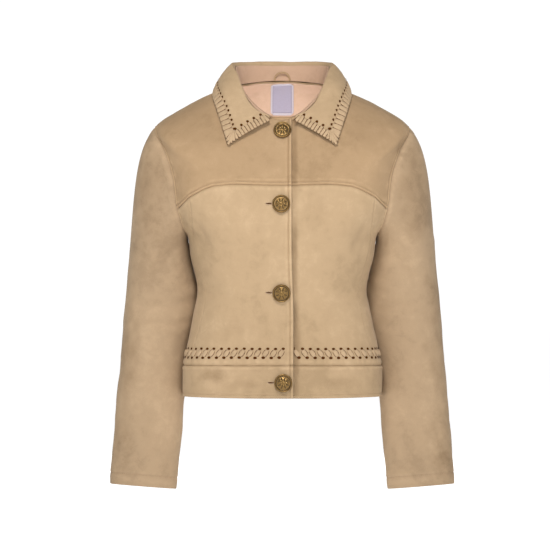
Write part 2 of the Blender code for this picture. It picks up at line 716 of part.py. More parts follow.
def build_collar_lace(parts):
    shares = [k / COLLAR_STEPS for k in range(COLLAR_STEPS, -COLLAR_STEPS - 1, -1)]
    lines = [collar_line(share) for share in shares]
    wrapped_lace("collar_lace_edge", [line[-1] for line in lines], [line[-2] for line in lines], parts)
    last, before = collar_line(1.0), collar_line(1.0 - 1.0 / COLLAR_STEPS)
    edge = last[4:-2] + [last[-2].lerp(last[-3], TIP_CLEARANCE)]
    inside = before[4:-2] + [before[-2].lerp(before[-3], TIP_CLEARANCE)]
    for side in ("right", "left"):
        wrapped_lace("collar_lace_front_" + side, edge, inside, parts, mirror=side == "right")


# --- Small pieces -----------------------------------------------------------------------------

def build_label(parts):
    depth = CLOTH + FACING_CLOTH + LABEL_GAP
    step = SHOULDER_SECTION / SHOULDER_STEPS
    grid = []
    for share in LABEL_SHARES:
        section = share * step
        edges = [angle_at(LABEL_WIDTH * (k / 4 - 0.5), section) for k in range(5)]
        grid.append([torso(180.0 + angle, section, -depth) for angle in edges])
    sheet("label", grid, LABEL_CLOTH, "label", parts)


def build_hanger_loop(parts):
    """A folded strip that arches up from the neck seam, in front of the collar's stand."""
    width, height = LOOP_SIZE
    line = collar_line(0.0)
    base = line[0]
    steps = 10
    strip = []
    for edge in (LOOP_STRIP, 0.0):
        row = []
        for k in range(steps + 1):
            turn = math.pi * k / steps
            x = (width / 2 - edge) * math.cos(turn)
            z = (height - edge) * math.sin(turn) ** LOOP_SQUARE
            y = base.y - COLLAR_CLOTH - LOOP_GAP - LOOP_LEAN * z
            row.append(Vector((x, y, base.z - LOOP_SINK + z)))
        strip.append(row)
    sheet("hanger_loop", strip, LOOP_CLOTH, "suede", parts)


def button_profile():
    """Half section of a domed button with a raised rim, top to bottom along its axis."""
    return [(BUTTON_RADIUS * share, height) for share, height in BUTTON_SECTION]


def build_button(name, x, z, parts):
    angle, section = place_at(x, z)
    normal = torso_normal(angle, section)
    seat = torso(angle, section, BUTTON_LIFT)
    mesh = bpy.data.meshes.new(name)
    work = bmesh.new()
    verts = [work.verts.new((radius * MM, 0.0, height * MM)) for radius, height in button_profile()]
    for a, b in zip(verts, verts[1:]):
        work.edges.new((a, b))
    work.to_mesh(mesh)
    work.free()
    made = new_object(name, mesh, "brass", parts)
    made.location = seat * MM
    made.rotation_mode = "QUATERNION"
    made.rotation_quaternion = Vector((0, 0, 1)).rotation_difference(normal)
    turn = made.modifiers.new("turn", "SCREW")
    turn.steps = BUTTON_TURNS
    turn.render_steps = BUTTON_TURNS
    turn.use_merge_vertices = True
    turn.merge_threshold = 0.00005
    turn.use_smooth_shade = True


def main():
    clear_scene()
    parts = bpy.data.collections.new("suede_jacket")
    bpy.context.scene.collection.children.link(parts)
    for side in ("right", "left"):
        build_yoke(side, parts)
        build_front(side, parts)
        build_side_front(side, parts)
        build_sleeve(side, parts)
    build_back(parts)
    build_waistband(parts)
    build_collar(parts)
    build_collar_lace(parts)
    build_neck_facing(parts)
    build_hem_lace(parts)
    build_label(parts)
    build_hanger_loop(parts)
    for name, x, z in BUTTON_PLACES:
        build_button(name, x, z, parts)


main()
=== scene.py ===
"""Looks of the cropped suede jacket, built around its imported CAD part.

Every piece is a thin wall on the same torso surface or sleeve tube as its CAD node, sampled
finely, with its seams, stitch lines, folds and lacing. Lengths are in millimetres until a mesh
is made. +Z is up, the front faces -Y and +X is the wearer's left.
"""
import math

import bpy
import numpy as np
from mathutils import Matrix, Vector


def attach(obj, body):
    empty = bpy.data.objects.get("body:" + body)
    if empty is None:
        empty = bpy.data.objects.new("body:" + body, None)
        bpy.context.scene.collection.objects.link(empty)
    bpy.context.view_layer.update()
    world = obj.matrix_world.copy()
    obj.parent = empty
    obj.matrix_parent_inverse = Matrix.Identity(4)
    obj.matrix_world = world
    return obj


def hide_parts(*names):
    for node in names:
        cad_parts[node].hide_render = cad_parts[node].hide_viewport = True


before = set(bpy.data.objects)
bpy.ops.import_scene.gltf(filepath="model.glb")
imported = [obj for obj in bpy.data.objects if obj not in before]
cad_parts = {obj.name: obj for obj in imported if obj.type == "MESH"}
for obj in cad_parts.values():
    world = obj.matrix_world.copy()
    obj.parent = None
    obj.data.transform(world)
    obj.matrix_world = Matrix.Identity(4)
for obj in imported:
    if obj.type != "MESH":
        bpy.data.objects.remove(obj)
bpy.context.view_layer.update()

MM = 0.001

# --- The garment's driving tables, as in the part's source ------------------------------------
CLOTH = 1.6
COLLAR_CLOTH = 2.0
STAND_CLOTH = COLLAR_CLOTH - 0.4
FACING_CLOTH = 1.0
LAP_HALF = 14.5
LAP_RAMP = (16.0, 31.0)
LAP_DEPTH = CLOTH + 0.6
BAND_TOP = -466.0
SIDE_ANGLE = 95.0
BUTTON_RADIUS = 14.8
BUTTONS = (("button_1", 0.3, -80.5), ("button_2", -1.8, -201.0),
           ("button_3", -1.3, -346.5), ("button_4", 1.6, -494.0))
LABEL_SIZE = (38.5, 58.0)
LABEL_SHARES = (0.15, 2.9)      # its top and bottom below the neck, in fifths of the shoulder
LABEL_CORNER = 5.0
LABEL_RISE = 0.45
LOOP_SIZE = (28.0, 16.0)
LOOP_STRIP = 2.8
LOOP_CLOTH = 0.8
LOOP_GAP = 2.0                  # in front of the collar's stand
LOOP_LEAN = 0.1
LOOP_SINK = 0.6
LOOP_SQUARE = 0.8               # below 1 the arch is squarer than an ellipse
SLIT_OFF = 20.2                 # the buttonholes' ends lie this far towards the wearer's right
FOLD_TAPER = 0.7                # below 1 a fold keeps its depth further towards its ends

# Torso sections: half width, front depth, back depth, heights at the centre front, side and
# centre back, roundness
TORSO = (
    (72.0, 78.0, 55.0, -62.0, -3.0, 4.0, 2.00),
    (112.0, 91.0, 74.0, -86.0, -17.0, -20.0, 2.10),
    (160.0, 104.0, 92.0, -116.0, -40.0, -62.0, 2.30),
    (208.0, 115.0, 103.0, -152.0, -72.0, -108.0, 2.60),
    (199.0, 120.0, 106.0, -177.0, -104.0, -145.0, 2.70),
    (189.0, 123.5, 106.0, -201.0, -145.0, -176.0, 2.80),
    (181.0, 126.0, 103.0, -228.0, -193.0, -212.0, 2.80),
    (169.0, 125.0, 98.0, -246.0, -229.0, -236.0, 2.70),
    (156.0, 122.5, 94.0, -264.0, -253.0, -256.0, 2.60),
    (150.5, 116.0, 86.0, -293.0, -290.0, -290.0, 2.50),
    (142.0, 109.0, 80.0, -322.0, -322.0, -322.0, 2.45),
    (139.0, 104.0, 77.0, -345.0, -345.0, -345.0, 2.40),
    (143.0, 101.0, 78.0, -369.0, -369.0, -369.0, 2.40),
    (151.0, 99.0, 83.0, -405.0, -405.0, -405.0, 2.40),
    (159.5, 97.5, 90.0, -446.0, -446.0, -446.0, 2.45),
    (163.6, 97.0, 92.5, -466.0, -466.0, -466.0, 2.50),
    (164.3, 96.5, 95.0, -490.0, -490.0, -490.0, 2.50),
    (164.0, 96.0, 97.0, -519.5, -517.0, -519.0, 2.50),
)
HEM = len(TORSO) - 1
SHOULDER_SECTION = 3.0
UNDERARM_SECTION = 8.0
WAIST_SECTION = 10.0
ARMHOLE_FRONT = 24.0
ARMHOLE_BACK = 26.0
YOKE_TURN = 108.0
YOKE_SEAM = ((0.0, -171.0), (78.0, -168.6), (103.0, -170.5), (120.0, -174.0), (152.0, -189.0))
PRINCESS_SEAM = ((149.0, -224.0), (146.0, -260.0), (137.0, -300.0), (126.0, -345.0),
                 (136.0, -400.0), (147.0, -440.0), (150.0, BAND_TOP))
# Folds in the CAD form: start and end (distance from the centre, height), depth, half width, side
TORSO_FOLDS = (
    ((141.0, -232.0), (119.0, -284.0), -3.6, 7.5, "front"),
    ((128.0, -338.0), (84.0, -352.0), -1.8, 9.0, "front"),
    ((96.0, -120.0), (150.0, -150.0), -1.4, 14.0, "front"),
    ((150.0, -190.0), (112.0, -262.0), -3.0, 10.0, "back"),
    ((126.0, -336.0), (60.0, -349.0), -2.6, 11.0, "back"),
    ((118.0, -374.0), (50.0, -381.0), -1.8, 10.0, "back"),
)
# Sleeve sections: centre x, y, z, half width, half depth, rise towards the outside
SLEEVE = (
    (200.5, 25.0, -262.0, 49.5, 60.0, 0.30),
    (199.6, 33.0, -300.0, 54.0, 57.0, 0.15),
    (197.2, 40.0, -345.0, 60.8, 54.5, 0.08),
    (203.8, 45.0, -400.0, 58.8, 51.5, 0.08),
    (211.7, 49.0, -450.0, 55.3, 48.0, 0.08),
    (217.4, 50.0, -517.0, 55.4, 45.0, 0.08),
    (222.2, 47.0, -580.0, 56.2, 41.0, 0.08),
    (226.7, 43.0, -630.0, 56.0, 36.0, 0.08),
    (230.0, 40.0, -666.5, 55.0, 30.0, 0.08),
)
SLEEVE_POWER = 2.2
SLEEVE_FOLDS = (
    ((118.0, -268.0), (60.0, -332.0), -3.2, 9.0),
    ((165.0, -352.0), (70.0, -372.0), -3.0, 8.0),
    ((150.0, -392.0), (78.0, -400.0), -2.2, 8.0),
    ((200.0, -340.0), (285.0, -366.0), -3.0, 9.0),
    ((190.0, -388.0), (262.0, -412.0), -2.4, 9.0),
    ((20.0, -590.0), (70.0, -640.0), -1.6, 9.0),
)
# Collar, centre back to front: roll line x, y, z and the leaf's outer edge x, y, z
COLLAR = (
    (0.0, 62.0, 37.0, 0.0, 89.0, -22.0),
    (31.0, 58.0, 36.8, 43.0, 84.0, -21.0),
    (59.0, 43.0, 36.0, 83.0, 63.0, -17.0),
    (77.0, 22.0, 34.5, 105.0, 30.0, -10.5),
    (82.0, 3.0, 32.0, 112.0, -4.0, -11.5),
    (77.5, -15.0, 22.0, 114.0, -32.0, -23.0),
    (72.0, -32.0, 9.0, 109.0, -57.0, -38.0),
    (65.0, -49.0, -10.0, 102.5, -74.0, -57.0),
    (55.0, -66.0, -32.0, 96.0, -87.0, -77.0),
    (40.0, -79.0, -47.0, 91.0, -96.0, -92.0),
    (22.0, -87.0, -55.0, 88.0, -101.0, -101.0),
)

# Fold and crease lines: points on the flat map (distance round the body from
#  the centre front, height), depth (negative for a hollow) and half width. They taper at the ends.
BODY_CREASES = (
    # hollow beside each bust, running down from the princess seam
    (((-176, -216), (-168, -243), (-150, -276), (-134, -300)), -1.9, 9.0),
    (((172, -221), (163, -247), (149, -281), (138, -296)), -1.7, 8.0),
    # drag lines from the armholes into the chest
    (((-163, -150), (-140, -146), (-112, -139)), -1.0, 8.0),
    (((-160, -176), (-131, -181), (-101, -178)), -0.8, 6.5),
    (((165, -157), (139, -150), (108, -146)), -0.9, 7.5),
    # strain towards the buttons
    (((-10, -214), (-36, -226), (-71, -243)), -0.7, 7.0),
    (((22, -210), (52, -226), (80, -236)), -0.6, 6.5),
    (((-14, -352), (-49, -358), (-88, -350)), -0.8, 8.0),
    (((30, -350), (61, -357), (97, -352)), -0.7, 8.0),
    (((26, -300), (60, -292), (99, -281)), 0.8, 13.0),
    (((-22, -297), (-58, -291), (-94, -277)), 0.8, 13.0),
    # waist, at the sides
    (((-198, -333), (-170, -343), (-131, -350)), -1.5, 7.0),
    (((-203, -351), (-178, -357), (-150, -361)), -1.0, 5.0),
    (((196, -338), (166, -346), (137, -349)), -1.4, 7.0),
    (((201, -356), (181, -360), (148, -367)), -0.9, 5.0),
    (((-150, -392), (-126, -401), (-95, -405)), -0.9, 9.0),
    (((157, -396), (129, -402), (103, -409)), -0.8, 8.0),
    # waistband dimples
    (((-150, -476), (-138, -484), (-131, -490)), -1.1, 5.0),
    (((-121, -477), (-112, -482), (-103, -483)), -0.8, 4.5),
    (((144, -478), (152, -485), (160, -489)), -0.9, 5.0),
    (((63, -501), (83, -497), (104, -499)), -0.6, 5.0),
    (((-71, -499), (-52, -496), (-30, -498)), -0.5, 5.0),
    # back, blade to waist
    (((246, -186), (268, -222), (291, -268)), -2.0, 9.0),
    (((-249, -191), (-270, -229), (-287, -262)), -1.8, 9.0),
    (((262, -250), (296, -279), (343, -291)), -1.4, 9.0),
    (((-258, -247), (-300, -283), (-339, -288)), -1.3, 8.0),
    (((238, -330), (281, -344), (330, -347), (371, -341)), -2.0, 8.5),
    (((-236, -334), (-276, -346), (-322, -350), (-362, -343)), -2.0, 8.5),
    (((243, -366), (290, -374), (352, -373)), -1.4, 8.0),
    (((-240, -371), (-301, -380), (-346, -375)), -1.3, 7.5),
    (((330, -316), (372, -321), (-359, -317)), -1.0, 8.0),
)
# The same for a sleeve, seen from its right: turn (0 outside, 90 front, 180 body) and height
SLEEVE_CREASES = {
    "right": (
        (((132, -262), (104, -292), (75, -322), (52, -340)), -1.9, 9.0),
        (((172, -318), (136, -333), (98, -345)), -2.0, 8.0),
        (((170, -356), (130, -370), (84, -374)), -1.8, 8.0),
        (((158, -391), (120, -402), (82, -402)), -1.5, 7.0),
        (((40, -352), (66, -372), (92, -384)), -1.1, 9.0),
        (((30, -420), (58, -446), (80, -476)), -1.0, 10.0),
        (((122, -452), (100, -480), (88, -520)), -0.9, 9.0),
        (((35, -555), (62, -590), (84, -633)), -1.4, 9.0),
        (((120, -560), (104, -594), (98, -634)), -0.8, 8.0),
        (((205, -342), (244, -357), (288, -369)), -2.0, 9.0),
        (((192, -389), (228, -406), (268, -413)), -1.7, 8.0),
        (((255, -452), (280, -490), (296, -541)), -1.1, 10.0),
        (((228, -570), (250, -603), (262, -640)), -1.0, 9.0),
    ),
    "left": (
        (((135, -268), (108, -297), (70, -328)), -2.0, 9.0),
        (((170, -323), (140, -340), (96, -352)), -1.7, 8.0),
        (((165, -362), (126, -373), (78, -381)), -1.8, 7.5),
        (((156, -398), (118, -405), (88, -409)), -1.3, 7.0),
        (((36, -370), (64, -384), (95, -391)), -1.1, 8.0),
        (((44, -436), (66, -462), (82, -500)), -1.1, 10.0),
        (((125, -470), (104, -505), (90, -541)), -0.8, 9.0),
        (((48, -570), (66, -600), (78, -640)), -1.2, 9.0),
        (((126, -580), (112, -612), (104, -642)), -0.9, 8.0),
        (((208, -350), (250, -362), (284, -378)), -1.9, 9.0),
        (((194, -396), (232, -410), (263, -421)), -1.6, 8.0),
        (((258, -470), (276, -512), (300, -560)), -1.1, 10.0),
        (((158, -276), (180, -308), (200, -336)), 2.4, 15.0),
    ),
}

# --- Curves through a table -------------------------------------------------------------------

def rows_at(table, place):
    """Rows between the table's rows, on a Catmull-Rom curve through each column."""
    table = np.asarray(table, float)
    last = len(table) - 1
    rows = np.vstack([2 * table[0] - table[1], table, 2 * table[-1] - table[-2]])
    place = np.clip(np.asarray(place, float), 0.0, last)
    i = np.minimum(place.astype(int), last - 1)
    t = (place - i)[..., None]
    a, b, c, d = (rows[i + k] for k in range(4))
    return 0.5 * (2 * b + (c - a) * t + (2 * a - 5 * b + 4 * c - d) * t ** 2
                  + (3 * b - a - 3 * c + d) * t ** 3)


def smooth_step(low, high, value):
    t = np.clip((value - low) / (high - low), 0.0, 1.0)
    return t * t * (3 - 2 * t)


def rounded(value, power):
    return np.sign(value) * np.abs(value) ** (2.0 / power)


def bell(value, half):
    return np.exp(-(value / half) ** 2)


def unit(vectors):
    return vectors / np.maximum(np.linalg.norm(vectors, axis=-1, keepdims=True), 1e-9)


def running_length(line):
    return np.concatenate([[0.0], np.cumsum(np.linalg.norm(np.diff(line, axis=0), axis=1))])


def read_at(run, lengths, rows):
    """Rows of a line at running lengths."""
    return np.stack([np.interp(run, lengths, rows[:, k]) for k in range(3)], -1)


def pairs(first, second):
    """Places of a surface: two coordinates that may be single numbers, rows or grids."""
    return np.stack(np.broadcast_arrays(first, second), -1)


def fold_height(px, pz, folds):
    total = np.zeros(np.broadcast(px, pz).shape)
    for start, end, depth, half in folds:
        ax, az = start
        dx, dz = end[0] - ax, end[1] - az
        t = ((px - ax) * dx + (pz - az) * dz) / (dx * dx + dz * dz)
        fade = np.maximum(np.cos(np.pi * np.clip(t, 0, 1) - np.pi / 2), 0.0) ** FOLD_TAPER
        off = np.hypot(px - ax - dx * t, pz - az - dz * t)
        total += np.where((t > 0) & (t < 1), depth * fade * bell(off, half), 0.0)
    return total


def unwrapped(points, turn):
    """The points with whole turns taken off, so that each is near the one before it."""
    row = np.asarray(points, float)
    for k in range(1, len(row)):
        row[k, 0] -= turn * round((row[k, 0] - row[k - 1, 0]) / turn)
    return row


def crease_height(px, pz, creases, turn):
    """Creases: a hollow along each curved line, with a soft lip on its upper side."""
    total = np.zeros(px.shape)
    for points, depth, half in creases:
        row = unwrapped(points, turn)
        line = rows_at(row, np.linspace(0, len(row) - 1, 8 * len(row)))
        middle = line[:, 0].mean()
        x = middle + (px - middle + turn / 2) % turn - turn / 2
        best = np.full(px.shape, 1e9)
        place = np.zeros(px.shape)
        above = np.zeros(px.shape, bool)
        count = len(line) - 1
        for k, (a, b) in enumerate(zip(line, line[1:])):
            dx, dz = b - a
            t = np.clip(((x - a[0]) * dx + (pz - a[1]) * dz) / (dx * dx + dz * dz), 0, 1)
            ox, oz = x - a[0] - dx * t, pz - a[1] - dz * t
            off = np.hypot(ox, oz)
            near = off < best
            best = np.where(near, off, best)
            place = np.where(near, (k + t) / count, place)
            above = np.where(near, oz > 0, above)
        fade = np.sin(np.pi * np.clip(place, 0.02, 0.98)) ** 0.8
        width = half * (0.6 + 0.4 * fade)
        lip = -0.32 * depth * bell(best - 1.6 * width, 0.8 * width) * above
        total += fade * (depth * bell(best, width) + lip)
    return total


def waves(px, pz, amplitude, length, seed):
    """Low uneven waviness, from a few crossed waves of near that length."""
    random = np.random.default_rng(seed)
    total = np.zeros(np.broadcast(px, pz).shape)
    for _ in range(9):
        turn, scale = random.uniform(0, math.pi), length * random.uniform(0.7, 1.6)
        phase = random.uniform(0, 2 * math.pi)
        along = px * math.cos(turn) + pz * math.sin(turn)
        total += np.sin(2 * math.pi * along / scale + phase)
    return total * amplitude / 3.0


# --- The torso surface ------------------------------------------------------------------------

def torso_base(angle, section):
    angle, section = np.broadcast_arrays(np.asarray(angle, float), np.asarray(section, float))
    width, front, back, z_front, z_side, z_back, power = np.moveaxis(rows_at(TORSO, section), -1, 0)
    s, c = np.sin(np.radians(angle)), np.cos(np.radians(angle))
    depth = np.where(c >= 0, front, back)
    z_end = np.where(c >= 0, z_front, z_back)
    return np.stack([width * rounded(s, power), -depth * rounded(c, power),
                     z_side + (z_end - z_side) * c * c], -1)


def torso_normal(angle, section):
    low, high = np.maximum(section - 0.04, 0.0), np.minimum(section + 0.04, float(HEM))
    across = torso_base(angle + 1.2, section) - torso_base(angle - 1.2, section)
    down = torso_base(angle, high) - torso_base(angle, low)
    return unit(np.cross(down, across))


BODY_WAVES = ((0.55, 95.0, 3), (0.16, 34.0, 7))     # amplitude, length and seed
GIRTH_ANGLES = np.linspace(0.0, 180.0, 181)
GIRTH = running_length(torso_base(GIRTH_ANGLES, UNDERARM_SECTION))
ROUND = 2 * GIRTH[-1]


def girth(angle):
    """Distance round the body from the centre front, on the flat map."""
    angle = (np.asarray(angle, float) + 180.0) % 360.0 - 180.0
    return np.sign(angle) * np.interp(np.abs(angle), GIRTH_ANGLES, GIRTH)


def torso(angle, section, out=0.0, detail=True):
    """Points of the cloth's outer face, moved out along the normal."""
    base = torso_base(angle, section)
    c = np.cos(np.radians(angle))
    x, z = np.abs(base[..., 0]), base[..., 2]
    front = fold_height(x, z, [fold[:4] for fold in TORSO_FOLDS if fold[4] == "front"])
    back = fold_height(x, z, [fold[:4] for fold in TORSO_FOLDS if fold[4] == "back"])
    height = np.where(c >= 0, front, back)
    if detail:
        g = girth(angle) + 0 * z
        height = height + crease_height(g, z, BODY_CREASES, ROUND)
        quiet = 1 - 0.8 * bell(x, 22.0) * (c > 0)
        for amplitude, length, seed in BODY_WAVES:
            height = height + waves(g, z, amplitude, length, seed) * quiet
    return base + torso_normal(angle, section) * (out + height)[..., None]


def torso_grid(places, out=0.0):
    return torso(places[..., 0], places[..., 1], out)


def angle_at(x, section):
    row = rows_at(TORSO, section)
    ratio = np.minimum(np.abs(x) / row[..., 0], 1.0)
    return np.where(np.asarray(x) < 0, -1.0, 1.0) * np.degrees(np.arcsin(ratio ** (row[..., 6] / 2)))


def place_at(x, z):
    """Angle and section of the front's points with this x and height."""
    x, z = np.broadcast_arrays(np.asarray(x, float), np.asarray(z, float))
    low, high = np.zeros(x.shape), np.full(x.shape, float(HEM))
    for _ in range(32):
        middle = (low + high) / 2
        above = torso_base(angle_at(x, middle), middle)[..., 2] > z
        low, high = np.where(above, middle, low), np.where(above, high, middle)
    middle = (low + high) / 2
    return pairs(angle_at(x, middle), middle)


def armhole(turn):
    """Angle and section of the armhole's seam: 0 shoulder, 90 front, 180 underarm, 270 back."""
    turn = np.asarray(turn, float)
    sweep = np.where(turn <= 180, turn, 360 - turn)
    middle = 90.0 + (SIDE_ANGLE - 90.0) * sweep / 180.0
    reach = np.where(turn <= 180, ARMHOLE_FRONT, -ARMHOLE_BACK)
    share = (1 - np.cos(np.radians(turn))) / 2
    section = SHOULDER_SECTION + (UNDERARM_SECTION - SHOULDER_SECTION) * share
    return pairs(middle - reach * np.sin(np.radians(sweep)), section)


yoke_end = torso_base(*armhole(YOKE_TURN))
YOKE_ROWS = YOKE_SEAM + ((float(yoke_end[0]), float(yoke_end[2])),)
YOKE_X = YOKE_ROWS[-1][0]
PRINCESS_X = YOKE_SEAM[-1][0]


def yoke_seam(x):
    """The yoke's seam at distances from the centre front."""
    rows = np.asarray(YOKE_ROWS)
    i = np.clip(np.searchsorted(rows[:, 0], x, side="right") - 1, 0, len(rows) - 2)
    share = (x - rows[i, 0]) / (rows[i + 1, 0] - rows[i, 0])
    places = place_at(x, rows_at(rows, i + share)[..., 1])
    at_end = np.abs(np.asarray(x) - rows[-1, 0]) < 1e-6
    places[at_end] = armhole(YOKE_TURN)
    return places


def princess_seam(share):
    rows = np.asarray((YOKE_SEAM[-1],) + PRINCESS_SEAM)
    at = rows_at(rows, share * (len(rows) - 1))
    return place_at(at[..., 0], at[..., 1])


BAND_SECTION = float(princess_seam(np.array([1.0]))[0, 1])


# --- Walls ------------------------------------------------------------------------------------

# Seams and edges in section. Each ridge or groove: distance from the seam, half width, height,
# and how much of the slow and of the quick unevenness along the seam is added to the height.
PROFILES = {
    "seam": ((0.0, 1.7, -1.05, 0, 0), (4.5, 3.2, 0.30, 0.12, 0)),
    "faint": ((0.0, 1.1, -0.50, 0, 0), (4.5, 3.2, 0.10, 0.04, 0)),
    "stitched": ((0.0, 0.9, -0.75, 0, 0), (5.2, 1.05, -0.95, -0.19, 0), (2.5, 1.7, 0.85, 0, 0),
                 (9.0, 3.0, 0.50, 0.30, 0), (5.0, 5.0, 0, 0, 0.26)),
    "armhole": ((0.0, 0.7, -0.35, 0, 0), (5.4, 1.2, -1.15, -0.23, 0), (2.7, 2.1, 1.55, 0, 0),
                (9.2, 3.0, 0.60, 0.36, 0), (6.0, 5.0, 0, 0, 0.30)),
    "band": ((0.0, 1.3, -0.7, 0, 0), (4.0, 2.8, 0.6, 0.25, 0)),
    "sunk": ((0.0, 2.4, -1.25, -0.25, 0), (7.0, 4.2, 0.5, 0, 0.3)),
    "head": ((0.0, 0.7, -0.10, 0, 0), (8.0, 5.5, 0.45, 0, 0.30)),
    "under": ((0.0, 1.9, -1.15, 0, 0), (6.0, 4.2, 0.42, 0, 0.22)),
    "edge": ((0.0, 0.7, -0.8, 0, 0), (5.8, 1.2, -1.25, 0, 0), (2.7, 2.0, 1.05, 0, 0),
             (9.2, 2.6, 0.45, 0, 0), (5.0, 4.5, 0, 0, 0.18)),
    "cuff": ((0.0, 1.0, -0.8, 0, 0), (19.0, 1.2, -0.62, 0, 0), (11.0, 6.0, 0.40, 0, 0),
             (23.5, 3.0, 0.28, 0, 0), (19.0, 6.0, 0, 0, 0.22)),
    "hem": ((0.0, 1.0, -0.8, 0, 0), (5.6, 1.15, -0.50, 0, 0), (2.8, 1.9, 0.32, 0, 0),
            (6.0, 5.0, 0, 0, 0.16)),
}
# Stitch lines lie in those grooves, at these distances from the seam or edge
SEAM_STITCH = 5.2
EDGE_STITCH = 5.6
CUFF_STITCH = 19.0


def spaced(length, pitch, near=(), far=()):
    """Shares from 0 to 1 along a length, with extra lines at given distances from its ends."""
    count = max(int(round(length / pitch)), 2)
    marks = [length * k / count for k in range(count + 1)]
    close = [d for d in near] + [length - d for d in far]
    marks = [m for m in marks if all(abs(m - c) > 0.45 * pitch for c in close) or m in (0, length)]
    return np.array(sorted(set(marks + close))) / length


def blend_sides(left, right, top, bottom, u, v):
    """Places between four sides: left and right follow v, top and bottom follow u."""
    u, v = u[None, :, None], v[:, None, None]
    sides = ((1 - u) * left[:, None] + u * right[:, None]
             + (1 - v) * top[None] + v * bottom[None])
    corners = ((1 - u) * ((1 - v) * top[0] + v * bottom[0])
               + u * ((1 - v) * top[-1] + v * bottom[-1]))
    return sides - corners


def grid_normals(points, closed=False):
    """Outward normals of a grid: rows downwards, columns anticlockwise from above."""
    if closed:
        across = np.roll(points, -1, 1) - np.roll(points, 1, 1)
    else:
        across = np.gradient(points, axis=1)
    down = np.gradient(points, axis=0)
    return unit(np.cross(down, across))


def edge_distances(points):
    """Distance of each point from the grid's left, right, top and bottom edge, along its lines."""
    across = np.linalg.norm(np.diff(points, axis=1), axis=2)
    down = np.linalg.norm(np.diff(points, axis=0), axis=2)
    left = np.concatenate([np.zeros((len(points), 1)), np.cumsum(across, 1)], 1)
    top = np.concatenate([np.zeros((1, points.shape[1])), np.cumsum(down, 0)], 0)
    return {"left": left, "right": left[:, -1:] - left, "top": top, "bottom": top[-1:] - top}


def seam_profile(off, run, style, seed):
    """Height beside a seam or edge: off is the distance from it and run the distance along it."""
    slow = waves(run, 0 * run, 1.0, 17.0, seed)
    quick = np.maximum(waves(run, 0 * run, 1.0, 8.5, seed + 50), -0.6)
    return sum((height + slow_part * slow + quick_part * quick) * bell(off - distance, half)
               for distance, half, height, slow_part, quick_part in PROFILES[style])


def dressed(points, styles, seed, closed=False):
    """The grid with its seams' profiles added along its normals."""
    distances = edge_distances(points)
    normals = grid_normals(points, closed)
    height = np.zeros(points.shape[:2])
    for k, (side, style) in enumerate(sorted(styles.items())):
        upright = side in ("left", "right")
        run = distances["top" if upright else "left"]
        first, second, share = (style, style, np.zeros(1)) if isinstance(style, str) else style
        share = np.reshape(share, (-1, 1) if upright else (1, -1))
        for part, weight in ((second, share), (first, 1 - share)):
            if weight.any():
                height += weight * seam_profile(distances[side], run, part, seed + 11 * k)
    return points + normals * height[..., None], height


def add_object(name, data):
    made = bpy.data.objects.new(name, data)
    bpy.context.scene.collection.objects.link(made)
    return made


def add_mesh(name, verts, faces, look, smooth=True):
    mesh = bpy.data.meshes.new(name)
    mesh.from_pydata((np.asarray(verts) * MM).tolist(), [], faces)
    mesh.validate()
    if smooth:
        mesh.shade_smooth()
    mesh.materials.append(look)
    return add_object(name, mesh)


def strip_faces(rows, columns, closed, start=0, flip=False):
    faces = []
    for r in range(rows - 1):
        for c in range(columns if closed else columns - 1):
            d = (c + 1) % columns
            face = (r * columns + c, (r + 1) * columns + c, (r + 1) * columns + d, r * columns + d)
            faces.append(tuple(start + k for k in (reversed(face) if flip else face)))
    return faces


def wall(name, points, thickness, look, closed=False):
    """A closed wall whose outer face is the grid."""
    rows, columns = points.shape[:2]
    inner = points - grid_normals(points, closed) * thickness
    count = rows * columns
    faces = strip_faces(rows, columns, closed)
    faces += strip_faces(rows, columns, closed, count, True)
    top = list(range(columns))
    bottom = list(range(count - 1, count - columns - 1, -1))
    rims = [top, bottom]
    if not closed:
        right = [r * columns + columns - 1 for r in range(1, rows - 1)]
        left = [r * columns for r in range(rows - 2, 0, -1)]
        rims = [top + right + bottom + left]
    for rim in rims:
        faces += [(a, b, b + count, a + count) for a, b in zip(rim, rim[1:] + rim[:1])]
    return add_mesh(name, np.concatenate([points.reshape(-1, 3), inner.reshape(-1, 3)]), faces, look)


GRIDS = {}


def cloth(name, points, thickness, look, closed=False, relief=None):
    """A cloth piece that stands for the CAD node of that name. The relief's height is stored on it for
    painted highlight on its ridges and painted shade in its grooves.
    """
    made = wall(name + "_cloth", points, thickness, look, closed)
    if relief is not None:
        values = np.zeros(len(made.data.vertices), np.float32)
        values[:relief.size] = relief.ravel()
        made.data.attributes.new("relief_light_and_shade", "FLOAT", "POINT").data.foreach_set("value", values)
    GRIDS[name] = points
    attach(made, "root")
    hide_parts(name)


# --- Materials --------------------------------------------------------------------------------

def tune(shader, **values):
    for name, value in values.items():
        shader.inputs[name.replace("_", " ")].default_value = value


def add_node(tree, kind, inputs=(), **settings):
    """A node with its settings. Its inputs are linked where the value is a socket, or else set."""
    node = tree.nodes.new("ShaderNode" + kind)
    for name, value in settings.items():
        setattr(node, name, value)
    for name, value in dict(inputs).items():
        if isinstance(value, bpy.types.NodeSocket):
            tree.links.new(value, node.inputs[name])
        else:
            node.inputs[name].default_value = value
    return node


def new_material(name, **values):
    """A material with its node tree and shader."""
    made = bpy.data.materials.new(name)
    made.use_nodes = True
    shader = made.node_tree.nodes["Principled BSDF"]
    tune(shader, **values)
    return made, made.node_tree, shader


def noise(tree, coords, scale, detail, roughness=0.5, distortion=0.0):
    values = {"Vector": coords, "Scale": scale, "Detail": detail, "Roughness": roughness,
              "Distortion": distortion}
    return add_node(tree, "TexNoise", values).outputs["Fac"]


def sum_of(tree, a, b, weight):
    return add_node(tree, "Math", {0: b, 1: weight, 2: a}, operation="MULTIPLY_ADD").outputs[0]


def map_range(tree, value, read, give, **settings):
    values = {"Value": value, "From Min": read[0], "From Max": read[1], "To Min": give[0],
              "To Max": give[1]}
    return add_node(tree, "MapRange", values, **settings).outputs["Result"]


